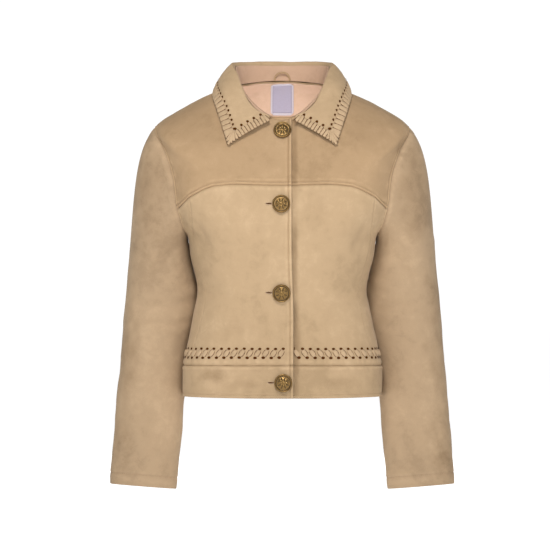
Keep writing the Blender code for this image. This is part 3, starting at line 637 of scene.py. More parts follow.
def tinted(tree, colour, factor, tint):
    node = add_node(tree, "Mix", data_type="RGBA", blend_type="MULTIPLY")
    tree.links.new(factor, node.inputs["Factor"])
    sockets = [socket for socket in node.inputs if socket.type == "RGBA"]
    tree.links.new(colour, sockets[0])
    sockets[1].default_value = (*tint, 1.0)
    return next(socket for socket in node.outputs if socket.type == "RGBA")


def colour_ramp(tree, factor, stops, **settings):
    """Colours at places from 0 to 1."""
    node = add_node(tree, "ValToRGB", {"Fac": factor})
    ramp = node.color_ramp
    for name, value in settings.items():
        setattr(ramp, name, value)
    for element, (place, colour) in zip(ramp.elements, (stops[0], stops[-1])):
        element.position = place
        element.color = (*colour, 1.0)
    for place, colour in stops[1:-1]:
        ramp.elements.new(place).color = (*colour, 1.0)
    return node.outputs["Color"]


def add_bump(tree, shader, height, strength, distance):
    values = {"Strength": strength, "Distance": distance, "Height": height}
    tree.links.new(add_node(tree, "Bump", values).outputs["Normal"], shader.inputs["Normal"])


# Painted highlight on the relief's ridges and painted shade in its grooves: heights read, share and
# tint
PAINTED_RELIEF_TINTS = (((0.15, 1.5), 0.75, (1.36, 1.38, 1.42)), ((-0.1, -1.4), 0.60, (0.66, 0.62, 0.55)))
# the tint of the patches of painted shade
SHADE_PATCH_TINT = (0.40, 0.34, 0.26)


def nap_material(name, dark, middle, light, blotch=7.0, grain=900.0, bump=0.35, sheen=0.12,
                 shade_patches=()):
    """Brushed skin: soft blotches where the nap lies another way, fine grain and a dull sheen, with
    patches of painted shade, and painted highlight and shade along the relief.
    """
    made, tree, shader = new_material(name, Roughness=0.93, Specular_IOR_Level=0.18,
                                      Sheen_Weight=sheen, Sheen_Roughness=0.45,
                                      Sheen_Tint=(1.0, 0.90, 0.76, 1.0))
    coords = add_node(tree, "TexCoord").outputs["Object"]
    large = noise(tree, coords, blotch, 4.0, 0.55, 0.6)
    brushed = noise(tree, coords, blotch * 9.0, 5.0, 0.65, 0.3)
    fibres = noise(tree, coords, grain, 3.0, 0.7)
    total = sum_of(tree, sum_of(tree, large, brushed, 0.55), fibres, 0.30)
    spread = map_range(tree, total, (0.70, 1.15), (0.0, 1.0))
    colour = colour_ramp(tree, spread, ((0.0, dark), (0.5, middle), (1.0, light)),
                         interpolation="EASE")
    if shade_patches:
        wander = noise(tree, coords, 16.0, 5.0, 0.62)
    # each patch of painted shade darkens the colour
    for centre, radii, amount in shade_patches:
        place = add_node(tree, "Mapping", {
            "Vector": coords, "Location": [-c / r for c, r in zip(centre, radii)],
            "Scale": [1 / (r * MM) for r in radii]}, vector_type="POINT")
        reach = add_node(tree, "VectorMath", {0: place.outputs["Vector"]}, operation="LENGTH")
        uneven = sum_of(tree, reach.outputs["Value"], wander, 2.2)
        fade = map_range(tree, uneven, (1.15, 2.25), (amount, 0.0), interpolation_type="SMOOTHSTEP")
        colour = tinted(tree, colour, fade, SHADE_PATCH_TINT)
    # painted highlight and shade from the relief's height: lighter on ridges, darker in grooves
    relief_light_and_shade = add_node(tree, "Attribute", attribute_name="relief_light_and_shade").outputs["Fac"]
    for read, amount, tint in PAINTED_RELIEF_TINTS:
        colour = tinted(tree, colour, map_range(tree, relief_light_and_shade, read, (0.0, amount)), tint)
    tree.links.new(colour, shader.inputs["Base Color"])
    rough = sum_of(tree, noise(tree, coords, grain * 0.45, 4.0, 0.6), brushed, 0.6)
    add_bump(tree, shader, rough, bump, 0.0006)
    return made


def plain_material(name, colour, roughness, metallic=0.0, relief=0.0, scale=400.0):
    """One colour with a little noise in it, and a fine relief."""
    made, tree, shader = new_material(name, Roughness=roughness, Metallic=metallic)
    coords = add_node(tree, "TexCoord").outputs["Object"]
    if roughness > 0.9:
        tune(shader, Specular_IOR_Level=0.0)
    speckle = noise(tree, coords, scale, 3.0)
    dark = [0.80 * c for c in colour]
    light = [min(1.12 * c, 1.0) for c in colour]
    tree.links.new(colour_ramp(tree, speckle, ((0.25, dark), (0.75, light))),
                   shader.inputs["Base Color"])
    if relief:
        add_bump(tree, shader, speckle, relief, 0.0004)
    return made


# Darker patches: centre and radii in mm, and how strongly. On the body they are painted shade
#  on the lower front, the yoke's shoulders, a strip beside the lap's edge, the gap beside the top
#  button and the hollows of the chest, waist and waistband; a few more darken the back. On the
#  sleeves they are painted shade on the outer sides, the cuffs' corners and the tops by the
#  armholes; two more darken their backs.
BODY_SHADE_PATCHES = (((0, -110, -530), (260, 140, 150), 0.14),
                ((-118, -90, -484), (34, 60, 15), 0.42), ((-60, -110, -497), (40, 60, 10), 0.22),
                ((96, -110, -492), (46, 60, 12), 0.26), ((-140, -40, -70), (76, 90, 74), 0.16),
                ((138, -40, -74), (76, 90, 78), 0.16), ((20.5, -110, -128), (6, 60, 70), 0.30),
                ((20, -110, -290), (6.5, 60, 80), 0.34), ((24, -110, -410), (7.5, 60, 80), 0.40),
                ((22, -110, -490), (7, 60, 60), 0.30), ((21, -110, -66), (8, 60, 9), 1.0),
                ((-76, -110, -404), (30, 60, 20), 0.16), ((60, -110, -210), (26, 60, 44), 0.12),
                ((-100, 90, -300), (50, 60, 90), 0.16), ((90, 100, -160), (60, 60, 40), 0.14),
                ((40, 110, -488), (60, 60, 16), 0.24))
SLEEVE_SHADE_PATCHES = (((-268, -40, -632), (30, 70, 40), 0.46), ((-186, -50, -640), (24, 60, 44), 0.40),
                  ((266, -40, -628), (30, 70, 46), 0.42), ((188, -50, -646), (26, 60, 36), 0.44),
                  ((-270, -20, -440), (36, 90, 190), 0.50), ((270, -20, -450), (36, 90, 190), 0.50),
                  ((-218, -30, -190), (44, 90, 100), 0.32), ((216, -30, -196), (44, 90, 94), 0.32),
                  ((-228, 90, -560), (40, 60, 80), 0.24), ((226, 90, -400), (40, 60, 90), 0.20))
SUEDE = nap_material("suede", (0.374, 0.262, 0.152), (0.436, 0.307, 0.182), (0.490, 0.349, 0.213),
                     shade_patches=BODY_SHADE_PATCHES)
# A darker copy of the suede: painted shade on the yokes, which slope up away from the light; the
# hanger loop uses it too
SHADED_YOKE_SUEDE = nap_material("suede_yoke_painted_shade", (0.330, 0.220, 0.122), (0.384, 0.258, 0.146),
                          (0.432, 0.294, 0.172), shade_patches=BODY_SHADE_PATCHES)
LACE = nap_material("suede_lace", (0.408, 0.286, 0.172), (0.460, 0.326, 0.200), (0.504, 0.360, 0.224),
                    blotch=16.0, grain=1100.0, bump=0.3)
# A darker copy of the suede: painted shade on the sleeves, which turn away from the light
SHADED_SLEEVE_SUEDE = nap_material("suede_sleeve_painted_shade", (0.320, 0.224, 0.137), (0.384, 0.271, 0.167),
                            (0.436, 0.310, 0.193), shade_patches=SLEEVE_SHADE_PATCHES)
SMOOTH_CLOTH = {"blotch": 9.0, "grain": 1400.0, "bump": 0.15, "sheen": 0.05}
FACING = nap_material("facing", (0.592, 0.412, 0.304), (0.640, 0.452, 0.340), (0.672, 0.484, 0.368),
                      **SMOOTH_CLOTH)
# A darker copy of the facing: painted shade on the collar's stand
SHADED_STAND_FACING = nap_material("facing_stand_painted_shade", (0.455, 0.300, 0.205), (0.500, 0.332, 0.230),
                            (0.536, 0.360, 0.255), **SMOOTH_CLOTH)
LABEL = plain_material("label", (0.395, 0.370, 0.490), 0.7, relief=0.15, scale=1600.0)
LABEL_EDGE = plain_material("label_border", (0.600, 0.565, 0.650), 0.75, relief=0.1, scale=1600.0)
THREAD = plain_material("thread", (0.416, 0.298, 0.188), 0.75, scale=900.0)
LACE_CONTACT_SHADOW = plain_material("lace_painted_contact_shadow", (0.185, 0.108, 0.058), 0.95, scale=300.0)
# Dark discs over the cloth: painted shade inside holes and slits
HOLE_SHADE = plain_material("punched_hole_painted_shade", (0.080, 0.030, 0.010), 1.0, scale=300.0)
BRASS = plain_material("antique_brass", (0.215, 0.130, 0.045), 0.34, metallic=0.9, relief=0.12,
                       scale=700.0)
PATINA = plain_material("brass_patina", (0.080, 0.046, 0.018), 0.60, metallic=0.5, relief=0.2,
                        scale=900.0)


# --- Body -------------------------------------------------------------------------------------

PITCH = 3.4                     # between the grid's lines
BACK_PITCH = 4.0
# Extra grid lines beside a seam, at these distances from it
NEAR_SEAM = (0.8, 1.8, 3.0, 4.2, 5.2, 6.2, 7.4, 9.0)
NEAR_PLAIN = (0.8, 1.8, 3.0, 5.0)
NEAR_ARM = (0.3, 0.6, 1.0, 1.4, 1.8, 2.2, 2.7, 3.2, 3.8, 4.6, 5.8, 7.4)
NEAR_LAP = (0.0, 0.7, 1.5, 2.6, 3.8, 4.8, 5.6, 6.4, 7.6, 9.4, 12.0)
# Where the lap's edge stands open over the under front: height, half length and how far
LAP_OPENINGS = ((-383.0, 24.0, 3.6), (-262.0, 50.0, 1.2), (-96.0, 26.0, 1.6), (-64.0, 12.0, 3.5))
YOKE_SHOULDER = 0.455           # share of the yoke's outer side that is the shoulder
SIDE_FRONT_HOLE = 0.26          # share of the side front's outer side that is the armhole
BACK_SHOULDER = 0.24            # shares of the back's side where the shoulder and the armhole end
BACK_HOLE = 0.56
OTHER_SIDE = {"left": "right", "right": "left"}
# Seeds of the unevenness along each panel's seams
SEEDS = {"yoke_right": 5, "yoke_left": 9, "front_right": 21, "front_left": 27,
         "side_front_right": 33, "side_front_left": 39, "back": 45, "waistband_right": 56,
         "waistband_left": 55, "waistband_back": 61}


def lap_press(x, z):
    """How far the under front is pressed in. It sinks deeper where the upper edge stands open."""
    open_edge = 2.3 + 0.5 * np.sin(z / 13.0) * np.sin(z / 31.0)
    for height, half, amount in LAP_OPENINGS:
        open_edge = open_edge + amount * bell(z - height, half)
    return (LAP_DEPTH * (1 - smooth_step(LAP_RAMP[0], LAP_RAMP[1], x))
            + open_edge * (1 - smooth_step(15.5, 27.0, x)))


def placket_lift(x, z):
    """The upper front's free edge stands off a little between the buttons."""
    wave = 0.75 + 0.45 * np.sin((z + 130.0) / 24.0) + 0.25 * np.sin((z + 60.0) / 9.0)
    return 1.15 * wave * smooth_step(3.0, LAP_HALF, x)


def right_side(places, out=0.0):
    """Outer face of a right piece, its columns still anticlockwise from above when mirrored."""
    return torso_grid(places[:, ::-1] * np.array([-1.0, 1.0]), out)


def front_points(places, side):
    """Outer face of a front's piece. The left front is pressed in under the lap."""
    base = torso_base(places[..., 0], places[..., 1])
    x, z = base[..., 0], base[..., 2]
    if side == "right":
        return right_side(places, placket_lift(-x, z)[:, ::-1])
    return torso_grid(places, -lap_press(x, z))


def with_lap(grid, v, top_section, low_section):
    """The grid with the lap's columns before it. The lap is a little wider lower down."""
    sections = top_section + (low_section - top_section) * v
    xs = [mark - LAP_HALF for mark in NEAR_LAP] + list(np.arange(0.5, LAP_RAMP[1] - 1.0, 2.6))
    lap = []
    for x in xs:
        z = torso_base(angle_at(max(x, 0.01), sections), sections)[:, 2]
        grow = 1 + (1.2 + 3.0 * smooth_step(260.0, 395.0, -z)) / LAP_HALF if x < 0 else 1.0
        lap.append(pairs(angle_at(x * grow, sections), sections))
    return np.concatenate([np.stack(lap, 1), grid], 1)


def panel(name, points, styles, look=SUEDE):
    """A panel of the body. Its styles are given for a left piece."""
    if name.endswith("_right"):
        styles = {OTHER_SIDE.get(edge, edge): style for edge, style in styles.items()}
    points, relief = dressed(points, styles, SEEDS[name])
    cloth(name, points, CLOTH, look, relief=relief)


def right_of_yoke(v):
    """The yoke's outer side: along the shoulder, then down the armhole."""
    section = np.minimum(v / YOKE_SHOULDER, 1.0) * SHOULDER_SECTION
    turn = np.clip((v - YOKE_SHOULDER) / (1 - YOKE_SHOULDER), 0.0, 1.0) * YOKE_TURN
    return np.where((v <= YOKE_SHOULDER)[:, None], pairs(90.0, section), armhole(turn))


def build_yoke(side):
    u = spaced(128.0, PITCH, far=NEAR_ARM)
    v = np.unique(np.append(spaced(262.0, PITCH, NEAR_PLAIN, NEAR_SEAM), YOKE_SHOULDER))
    bottom = yoke_seam(LAP_RAMP[1] + (YOKE_X - LAP_RAMP[1]) * u)
    start = angle_at(LAP_RAMP[1], np.array(0.0))
    top = pairs(start + (90.0 - start) * u, 0.0)
    low = yoke_seam(np.array([LAP_RAMP[1]]))[0, 1]
    left = pairs(angle_at(LAP_RAMP[1], low * v), low * v)
    grid = with_lap(blend_sides(left, right_of_yoke(v), top, bottom, u, v), v, 0.0, low)
    arm = smooth_step(0.45, 0.50, v)
    styles = {"bottom": "stitched", "right": ("seam", "armhole", arm), "top": "seam", "left": "edge"}
    panel("yoke_" + side, front_points(grid, side), styles, SHADED_YOKE_SUEDE)


def build_front(side):
    u = spaced(125.0, PITCH, far=NEAR_PLAIN)
    v = spaced(298.0, PITCH, NEAR_SEAM, NEAR_PLAIN)
    top = yoke_seam(LAP_RAMP[1] + (PRINCESS_X - LAP_RAMP[1]) * u)
    right = princess_seam(v)
    high, low = top[0, 1], right[-1, 1]
    start = angle_at(LAP_RAMP[1], np.array(low))
    bottom = pairs(start + (right[-1, 0] - start) * u, low)
    sections = high + (low - high) * v
    left = pairs(angle_at(LAP_RAMP[1], sections), sections)
    grid = with_lap(blend_sides(left, right, top, bottom, u, v), v, high, low)
    styles = {"top": "under", "right": "faint", "bottom": "sunk", "left": "edge"}
    panel("front_" + side, front_points(grid, side), styles)


def build_side_front(side):
    u = spaced(66.0, PITCH, NEAR_PLAIN, NEAR_ARM)
    v = spaced(300.0, PITCH, NEAR_SEAM, NEAR_PLAIN)
    top = yoke_seam(PRINCESS_X + (YOKE_X - PRINCESS_X) * u)
    left = princess_seam(v)
    low = left[-1, 1]
    turn = YOKE_TURN + (180.0 - YOKE_TURN) * np.clip(v / SIDE_FRONT_HOLE, 0, 1)
    below = np.clip((v - SIDE_FRONT_HOLE) / (1 - SIDE_FRONT_HOLE), 0, 1)
    seam = pairs(SIDE_ANGLE, UNDERARM_SECTION + (low - UNDERARM_SECTION) * below)
    right = np.where((v <= SIDE_FRONT_HOLE)[:, None], armhole(turn), seam)
    bottom = pairs(left[-1, 0] + (SIDE_ANGLE - left[-1, 0]) * u, low)
    grid = blend_sides(left, right, top, bottom, u, v)
    arm = 1 - smooth_step(0.20, 0.26, v)
    styles = {"top": "under", "left": "faint", "right": ("seam", "armhole", arm), "bottom": "sunk"}
    points = torso_grid(grid) if side == "left" else right_side(grid)
    panel("side_front_" + side, points, styles)


def build_back():
    u = spaced(420.0, BACK_PITCH, NEAR_SEAM, NEAR_SEAM)
    v = spaced(470.0, BACK_PITCH, NEAR_PLAIN, NEAR_SEAM)
    v = np.unique(np.append(v, (BACK_SHOULDER, BACK_HOLE)))
    shoulder = pairs(90.0, np.clip(v / BACK_SHOULDER, 0, 1) * SHOULDER_SECTION)
    turn = 360.0 - 180.0 * np.clip((v - BACK_SHOULDER) / (BACK_HOLE - BACK_SHOULDER), 0, 1)
    hole = armhole(np.where(turn >= 360.0, 359.999, turn))
    below = np.clip((v - BACK_HOLE) / (1 - BACK_HOLE), 0, 1)
    seam = pairs(SIDE_ANGLE, UNDERARM_SECTION + (BAND_SECTION - UNDERARM_SECTION) * below)
    left = np.where((v <= BACK_HOLE)[:, None], hole, seam)
    left = np.where((v <= BACK_SHOULDER)[:, None], shoulder, left)
    right = pairs(360.0 - left[:, 0], left[:, 1])
    top = pairs(90.0 + 180.0 * u, 0.0)
    bottom = pairs(SIDE_ANGLE + (360.0 - 2 * SIDE_ANGLE) * u, BAND_SECTION)
    grid = blend_sides(left, right, top, bottom, u, v)
    arm = smooth_step(0.23, 0.29, v) * (1 - smooth_step(0.51, 0.57, v))
    side = ("seam", "armhole", arm)
    styles = {"top": "seam", "left": side, "right": side, "bottom": "sunk"}
    panel("back", torso_grid(grid), styles)


def build_waistband():
    v = spaced(53.0, PITCH, NEAR_SEAM, NEAR_SEAM)
    sections = BAND_SECTION + (HEM - BAND_SECTION) * v
    u = spaced(205.0, PITCH, (), NEAR_PLAIN)
    start = angle_at(LAP_RAMP[1], sections)[:, None]
    grid = pairs(start + (SIDE_ANGLE - start) * u[None], sections[:, None])
    grid = with_lap(grid, v, BAND_SECTION, float(HEM))
    for side in ("right", "left"):
        styles = {"top": "band", "bottom": "hem", "right": "seam", "left": "edge"}
        panel("waistband_" + side, front_points(grid, side), styles)
    u = spaced(430.0, BACK_PITCH, NEAR_PLAIN, NEAR_PLAIN)
    grid = pairs(SIDE_ANGLE + (360.0 - 2 * SIDE_ANGLE) * u[None], sections[:, None])
    styles = {"top": "band", "bottom": "hem", "left": "seam", "right": "seam"}
    panel("waistband_back", torso_grid(grid), styles)


# --- Sleeves ----------------------------------------------------------------------------------

SLEEVE_SEEDS = {"right": (13, 71, 86), "left": (17, 77, 85)}    # of its waves, seams and gathers
SLEEVE_WAVES = ((0.75, 88.0), (0.20, 33.0))     # amplitude and length
SLEEVE_RADIUS = 52.0
ARMHOLE_RADIUS = 70.0
MIRROR = np.array([-1.0, 1.0, 1.0])


def sleeve_section(place, turn, side="right", detail=True):
    x, y, z, width, depth, tilt = np.moveaxis(rows_at(SLEEVE, place), -1, 0)
    c = rounded(np.cos(np.radians(turn)), SLEEVE_POWER)
    s = rounded(np.sin(np.radians(turn)), SLEEVE_POWER)
    point = np.stack([x + width * c, y - depth * s, z + tilt * width * c], -1)
    outward = unit(point - np.stack([x, y, z], -1))
    height = fold_height(turn + 0 * z, point[..., 2], SLEEVE_FOLDS)
    if detail:
        height = height + crease_height(turn + 0 * z, point[..., 2], SLEEVE_CREASES[side], 360.0)
        around = np.radians(turn) * SLEEVE_RADIUS
        soft = smooth_step(0.0, 0.35, place)
        for k, (amplitude, length) in enumerate(SLEEVE_WAVES):
            seed = SLEEVE_SEEDS[side][0] + k
            height = height + soft * waves(around, point[..., 2], amplitude, length, seed)
    return point + outward * height[..., None]


def sleeve_head(turn, share, side):
    """From the armhole's seam to the first section below it."""
    angle, section = np.moveaxis(armhole(turn % 360.0), -1, 0)
    start = torso(-angle, section) * MIRROR if side == "right" else torso(angle, section)
    end = sleeve_section(0 * turn, turn, side)
    reach = np.linalg.norm(end - start, axis=-1, keepdims=True)
    over = (1 + np.cos(np.radians(turn))) / 2
    across = np.sin(np.radians(turn))
    leave = unit(np.stack([0.25 + 0.40 * over + 0.25 * np.abs(across),
                           0.35 * (1 - over) - 0.10 * across,
                           -0.80 + 0.14 * over + 0.35 * np.abs(across)], -1))
    arrive = unit(sleeve_section(0 * turn + 0.12, turn, side, False)
                  - sleeve_section(0 * turn, turn, side, False))
    t = share[..., None]
    return ((2 * t ** 3 - 3 * t ** 2 + 1) * start + (3 * t ** 2 - 2 * t ** 3) * end
            + (t ** 3 - 2 * t ** 2 + t) * leave * reach * 0.75
            + (t ** 3 - t ** 2) * arrive * reach * 0.95)


def build_sleeve(side):
    turns = 360.0 - np.arange(0.0, 360.0, 3.0)
    head = np.append((0.0, 0.008, 0.02, 0.035, 0.05, 0.075), np.linspace(0.10, 0.965, 27))
    below = np.append(np.linspace(0.0, 7.35, 98), np.linspace(7.38, 8.0, 26))
    upper = sleeve_head(*np.meshgrid(turns, head), side)
    lower = sleeve_section(*np.meshgrid(turns, below)[::-1], side)
    seed, gather_seed = SLEEVE_SEEDS[side][1:]
    points, relief = dressed(np.concatenate([upper, lower]), {"top": "head", "bottom": "cuff"}, seed,
                             True)
    run = edge_distances(points)["top"]
    reach = np.radians(turns)[None] * ARMHOLE_RADIUS
    gather = np.maximum(waves(reach, 0 * reach, 1.0, 15.0, gather_seed), -0.5)
    points = points + grid_normals(points, True) * (0.28 * gather * bell(run - 9.0, 9.0))[..., None]
    if side == "right":
        points, relief = points[:, ::-1] * MIRROR, relief[:, ::-1]
    cloth("sleeve_" + side, points, CLOTH, SHADED_SLEEVE_SUEDE, closed=True, relief=relief)


# --- Collar -----------------------------------------------------------------------------------

FACING_STEP = SHOULDER_SECTION / 5      # the shoulder's fifths, in sections
LEAF_COLUMNS = 171
STAND_COLUMNS = 131
# Soft hollows under the roll: distance from the inner seam, half width, place round the collar
# from the centre back and half length
LEAF_HOLLOWS = ((17.0, 5.5, 95.0, 30.0), (15.0, 6.0, -88.0, 28.0))


def collar_edges(share):
    row = rows_at(COLLAR, np.abs(share) * (len(COLLAR) - 1))
    mirror = np.where(share[:, None] < 0, MIRROR, 1.0)
    return row[..., :3] * mirror, row[..., 3:] * mirror


def collar_rows(share):
    """Points across the collar, first index: neck seam, stand, inner seam, roll, leaf to edge."""
    roll, edge = collar_edges(share)
    ahead = collar_edges(np.minimum(share + 0.02, 1.0))[0]
    behind = collar_edges(np.maximum(share - 0.02, -1.0))[0]
    down = unit(edge - roll)
    outward = unit(np.cross(ahead - behind, down))
    size = np.abs(share)
    neck_angle = np.where(share < 0, -1.0, 1.0) * (180.0 - 167.0 * size ** 1.06)
    foot = torso_base(neck_angle, 0 * share) + np.array([0.0, 0.0, 0.5])
    end = (size ** 6)[..., None]
    seam = roll - outward * 2.8 + unit(foot - roll) * (6.0 - 3.0 * end)
    turned = roll + outward * 2.6 + down * 4.5 * (1 - end) - np.array([0.0, 1.0, 8.0]) * end
    rows = [foot, (foot + seam) / 2 + outward * 0.8, seam, roll, turned]
    for t in np.linspace(0.2, 1.0, 5):
        rows.append(turned + (edge - turned) * t + outward * (3.6 - 1.6 * end) * math.sin(math.pi * t))
    return np.stack(rows)


def between_rows(rows, place):
    """Smooth rows between the given ones; place counts rows."""
    flat = rows.reshape(len(rows), -1)
    return rows_at(flat, place).reshape(len(place), *rows.shape[1:])


def build_collar():
    """The turned-down leaf and the stand behind it."""
    leaf = between_rows(collar_rows(np.linspace(1.0, -1.0, LEAF_COLUMNS))[2:],
                        np.append(np.linspace(0, 2, 11), np.linspace(2.18, 7, 28)))
    distance = edge_distances(leaf)
    run = distance["left"] - distance["left"][:, [LEAF_COLUMNS // 2]]
    height = waves(run, distance["top"], 0.45, 62.0, 91) + waves(run, distance["top"], 0.14, 24.0, 92)
    hollow = sum(bell(distance["top"] - down, half) * bell(run - round_at, long)
                 for down, half, round_at, long in LEAF_HOLLOWS)
    height = height * smooth_step(0.0, 10.0, distance["top"]) - 0.8 * hollow
    height = height - 0.5 * bell(distance["bottom"], 1.0)
    leaf = leaf + grid_normals(leaf) * height[..., None]
    cloth("collar_leaf", leaf, COLLAR_CLOTH, SUEDE)
    stand = between_rows(collar_rows(np.linspace(1.0, -1.0, STAND_COLUMNS))[2::-1],
                         np.linspace(0, 2, 14))
    distance = edge_distances(stand)
    height = waves(distance["left"], distance["top"], 0.30, 45.0, 95)
    height -= 0.4 * bell(distance["bottom"], 1.4)
    stand = stand + grid_normals(stand) * height[..., None]
    cloth("collar_stand", stand, STAND_CLOTH, SHADED_STAND_FACING)


def build_neck_facing():
    angles = 90.0 + 180.0 * np.linspace(0.05, 0.95, 91)
    sections = np.linspace(0.1, 3.0, 26) * FACING_STEP
    points = torso_grid(pairs(angles[None], sections[:, None]), -CLOTH - 0.5)
    cloth("neck_facing", points, FACING_CLOTH, FACING)


# --- Small pieces -----------------------------------------------------------------------------

def build_label():
    """A bare label with rounded corners on the facing, with a paler middle a little proud of it."""
    width, height = LABEL_SIZE
    v = np.linspace(0, 1, 22)
    sections = FACING_STEP * (LABEL_SHARES[0] + (LABEL_SHARES[1] - LABEL_SHARES[0]) * v)[:, None]
    into = np.maximum(LABEL_CORNER - np.minimum(v, 1 - v) * height, 0)
    cut = LABEL_CORNER - np.sqrt(LABEL_CORNER ** 2 - into ** 2)
    xs = np.linspace(-0.5, 0.5, 16)[None] * (width - 2 * cut)[:, None]
    border = torso_grid(pairs(180.0 + angle_at(xs, sections), sections),
                        -(CLOTH + FACING_CLOTH + 1.5))
    cloth("label", border, 0.6, LABEL_EDGE)
    middle = border[1:-1, 1:-1]
    centre = middle.mean((0, 1))
    middle = centre + (middle - centre) * 0.985 - grid_normals(middle) * LABEL_RISE
    made = wall("label_field", middle, LABEL_RISE, LABEL)
    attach(made, "root")


def build_hanger_loop():
    width, height = LOOP_SIZE
    base = collar_rows(np.array([0.0]))[0, 0]
    turns = np.linspace(0, math.pi, 41)
    strip = []
    for edge in (LOOP_STRIP, 2.3, 1.4, 0.5, 0.0):
        x = (width / 2 - edge) * np.cos(turns)
        z = (height - edge) * np.sin(turns) ** LOOP_SQUARE
        dome = 0.35 * math.sin(math.pi * edge / LOOP_STRIP)
        y = base[1] - COLLAR_CLOTH - LOOP_GAP - LOOP_LEAN * z - dome
        strip.append(np.stack([x, y, base[2] - LOOP_SINK + z], -1))
    cloth("hanger_loop", np.stack(strip), LOOP_CLOTH, SHADED_YOKE_SUEDE)


# A button's rim, outwards and then down its side: share of the radius and height
BUTTON_RIM = ((0.74, 3.6), (0.77, 3.55), (0.80, 3.6), (0.83, 3.9), (0.86, 4.5), (0.89, 5.0),
              (0.92, 5.1), (0.95, 4.9), (0.975, 4.4), (0.99, 3.8), (1.0, 3.0), (1.0, 2.2),
              (0.985, 1.5), (0.95, 1.1), (0.9, 0.9))
FACE_RINGS = 30
BUTTON_SIDES = 96
LEAF_SIDES = 12                 # sides of the button to each leaf of its rosette
DARK_RINGS = (11, 30, 31, 32)
LEAF_RINGS = range(12, 27)


def button_mesh(name):
    """A domed button with a raised rim, ridged ring and a generic eight-leaf rosette."""
    turn = np.linspace(0, 2 * math.pi, BUTTON_SIDES, endpoint=False)
    q = np.linspace(0.02, 0.70, FACE_RINGS)[:, None]
    leaf = np.abs(np.cos(4 * turn))[None] ** 0.6
    top = 4.9 - 1.5 * (q / 0.7) ** 2 + 0 * turn
    top += 0.75 * leaf * bell(q - 0.40, 0.17) - 0.30 * bell(q - 0.215, 0.03)
    top -= 0.35 * bell(((4 * turn / math.pi) % 1.0 - 0.5)[None] * 2, 0.22) * bell(q - 0.42, 0.14)
    top += 0.55 * bell(q, 0.13) + 0.28 * bell(q - 0.64, 0.02)
    rim = np.array(BUTTON_RIM)
    radii = BUTTON_RADIUS * np.append(q[:, 0], rim[:, 0])[:, None]
    heights = np.concatenate([top, np.repeat(rim[:, 1:], BUTTON_SIDES, 1)])
    rings = np.stack([radii * np.cos(turn), radii * np.sin(turn), heights], -1)
    ends = [[0.0, 0.0, top[0].mean()], [0.0, 0.0, rim[-1, 1]]]
    count, last = len(radii), (len(radii) - 1) * BUTTON_SIDES
    faces = strip_faces(count, BUTTON_SIDES, True)
    for c in range(BUTTON_SIDES):
        d = (c + 1) % BUTTON_SIDES
        faces += [(count * BUTTON_SIDES, d, c), (count * BUTTON_SIDES + 1, last + c, last + d)]
    return add_mesh(name, np.concatenate([rings.reshape(-1, 3), ends]), faces, BRASS)


def build_button(name, x, z):
    angle, section = place_at(abs(x), z)
    angle = np.copysign(angle, x)
    normal = torso_normal(angle, section)
    seat = torso(angle, section, 0.6, detail=False)
    made = button_mesh(name + "_brass")
    made.data.materials.append(PATINA)
    for face in made.data.polygons:
        ring, side = divmod(face.index, BUTTON_SIDES)
        between = (side + LEAF_SIDES // 2) % LEAF_SIDES in (0, 1, LEAF_SIDES - 1)
        if ring in DARK_RINGS or (ring in LEAF_RINGS and between):
            face.material_index = 1
    turn = Vector((0, 0, 1)).rotation_difference(Vector(normal.tolist())).to_matrix().to_4x4()
    turn.translation = Vector((seat * MM).tolist())
    made.data.transform(turn)
    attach(made, "root")
    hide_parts(name)


# --- Lacing, stitches and holes ---------------------------------------------------------------

HOLE_SIDES = 18


class Parts:
    """Many small closed shapes gathered into one mesh."""

    def __init__(self):
        self.verts, self.faces, self.dark = [], [], []

    def tube(self, path, across, up, half, thick, outline, dark=()):
        """A closed bar along a path: outline gives its section in half widths and thicknesses."""
        start, ring = len(self.verts), len(outline)
        for p, a, n, w, t in zip(path, across, up, half, thick):
            self.verts += [p + a * (w * u) + n * (t * h) for u, h in outline]
        for r in range(len(path) - 1):
            for k in range(ring):
                a, b = start + r * ring + k, start + r * ring + (k + 1) % ring
                if k in dark:
                    self.dark.append(len(self.faces))
                self.faces.append((a, b, b + ring, a + ring))
        end = start + (len(path) - 1) * ring
        self.faces.append(tuple(range(start + ring - 1, start - 1, -1)))
        self.faces.append(tuple(range(end, end + ring)))

    def disc(self, centre, across, along, normal, wide, long, lift=0.55):
        """A shallow dark disc on the cloth: painted shade for the inside of a punched hole or slit."""
        start = len(self.verts)
        self.verts.append(centre + normal * (lift - 0.25))
        for k in range(HOLE_SIDES):
            turn = 2 * math.pi * k / HOLE_SIDES
            self.verts.append(centre + across * (wide * math.cos(turn))
                              + along * (long * math.sin(turn)) + normal * lift)
            self.faces.append((start, start + 1 + k, start + 1 + (k + 1) % HOLE_SIDES))

    def finish(self, name, look, slot_name, *nodes):
        made = add_mesh(name, self.verts, self.faces, look)
        # the dark sides take the painted contact shadow
        if self.dark:
            made.data.materials.append(LACE_CONTACT_SHADOW)
            for k in self.dark:
                made.data.polygons[k].material_index = 1
        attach(made, "root")
        if nodes:
            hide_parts(*nodes)


LACE_TOP = ((-0.90, 0.62), (-0.58, 0.93), (0.0, 1.0), (0.58, 0.93), (0.90, 0.62))
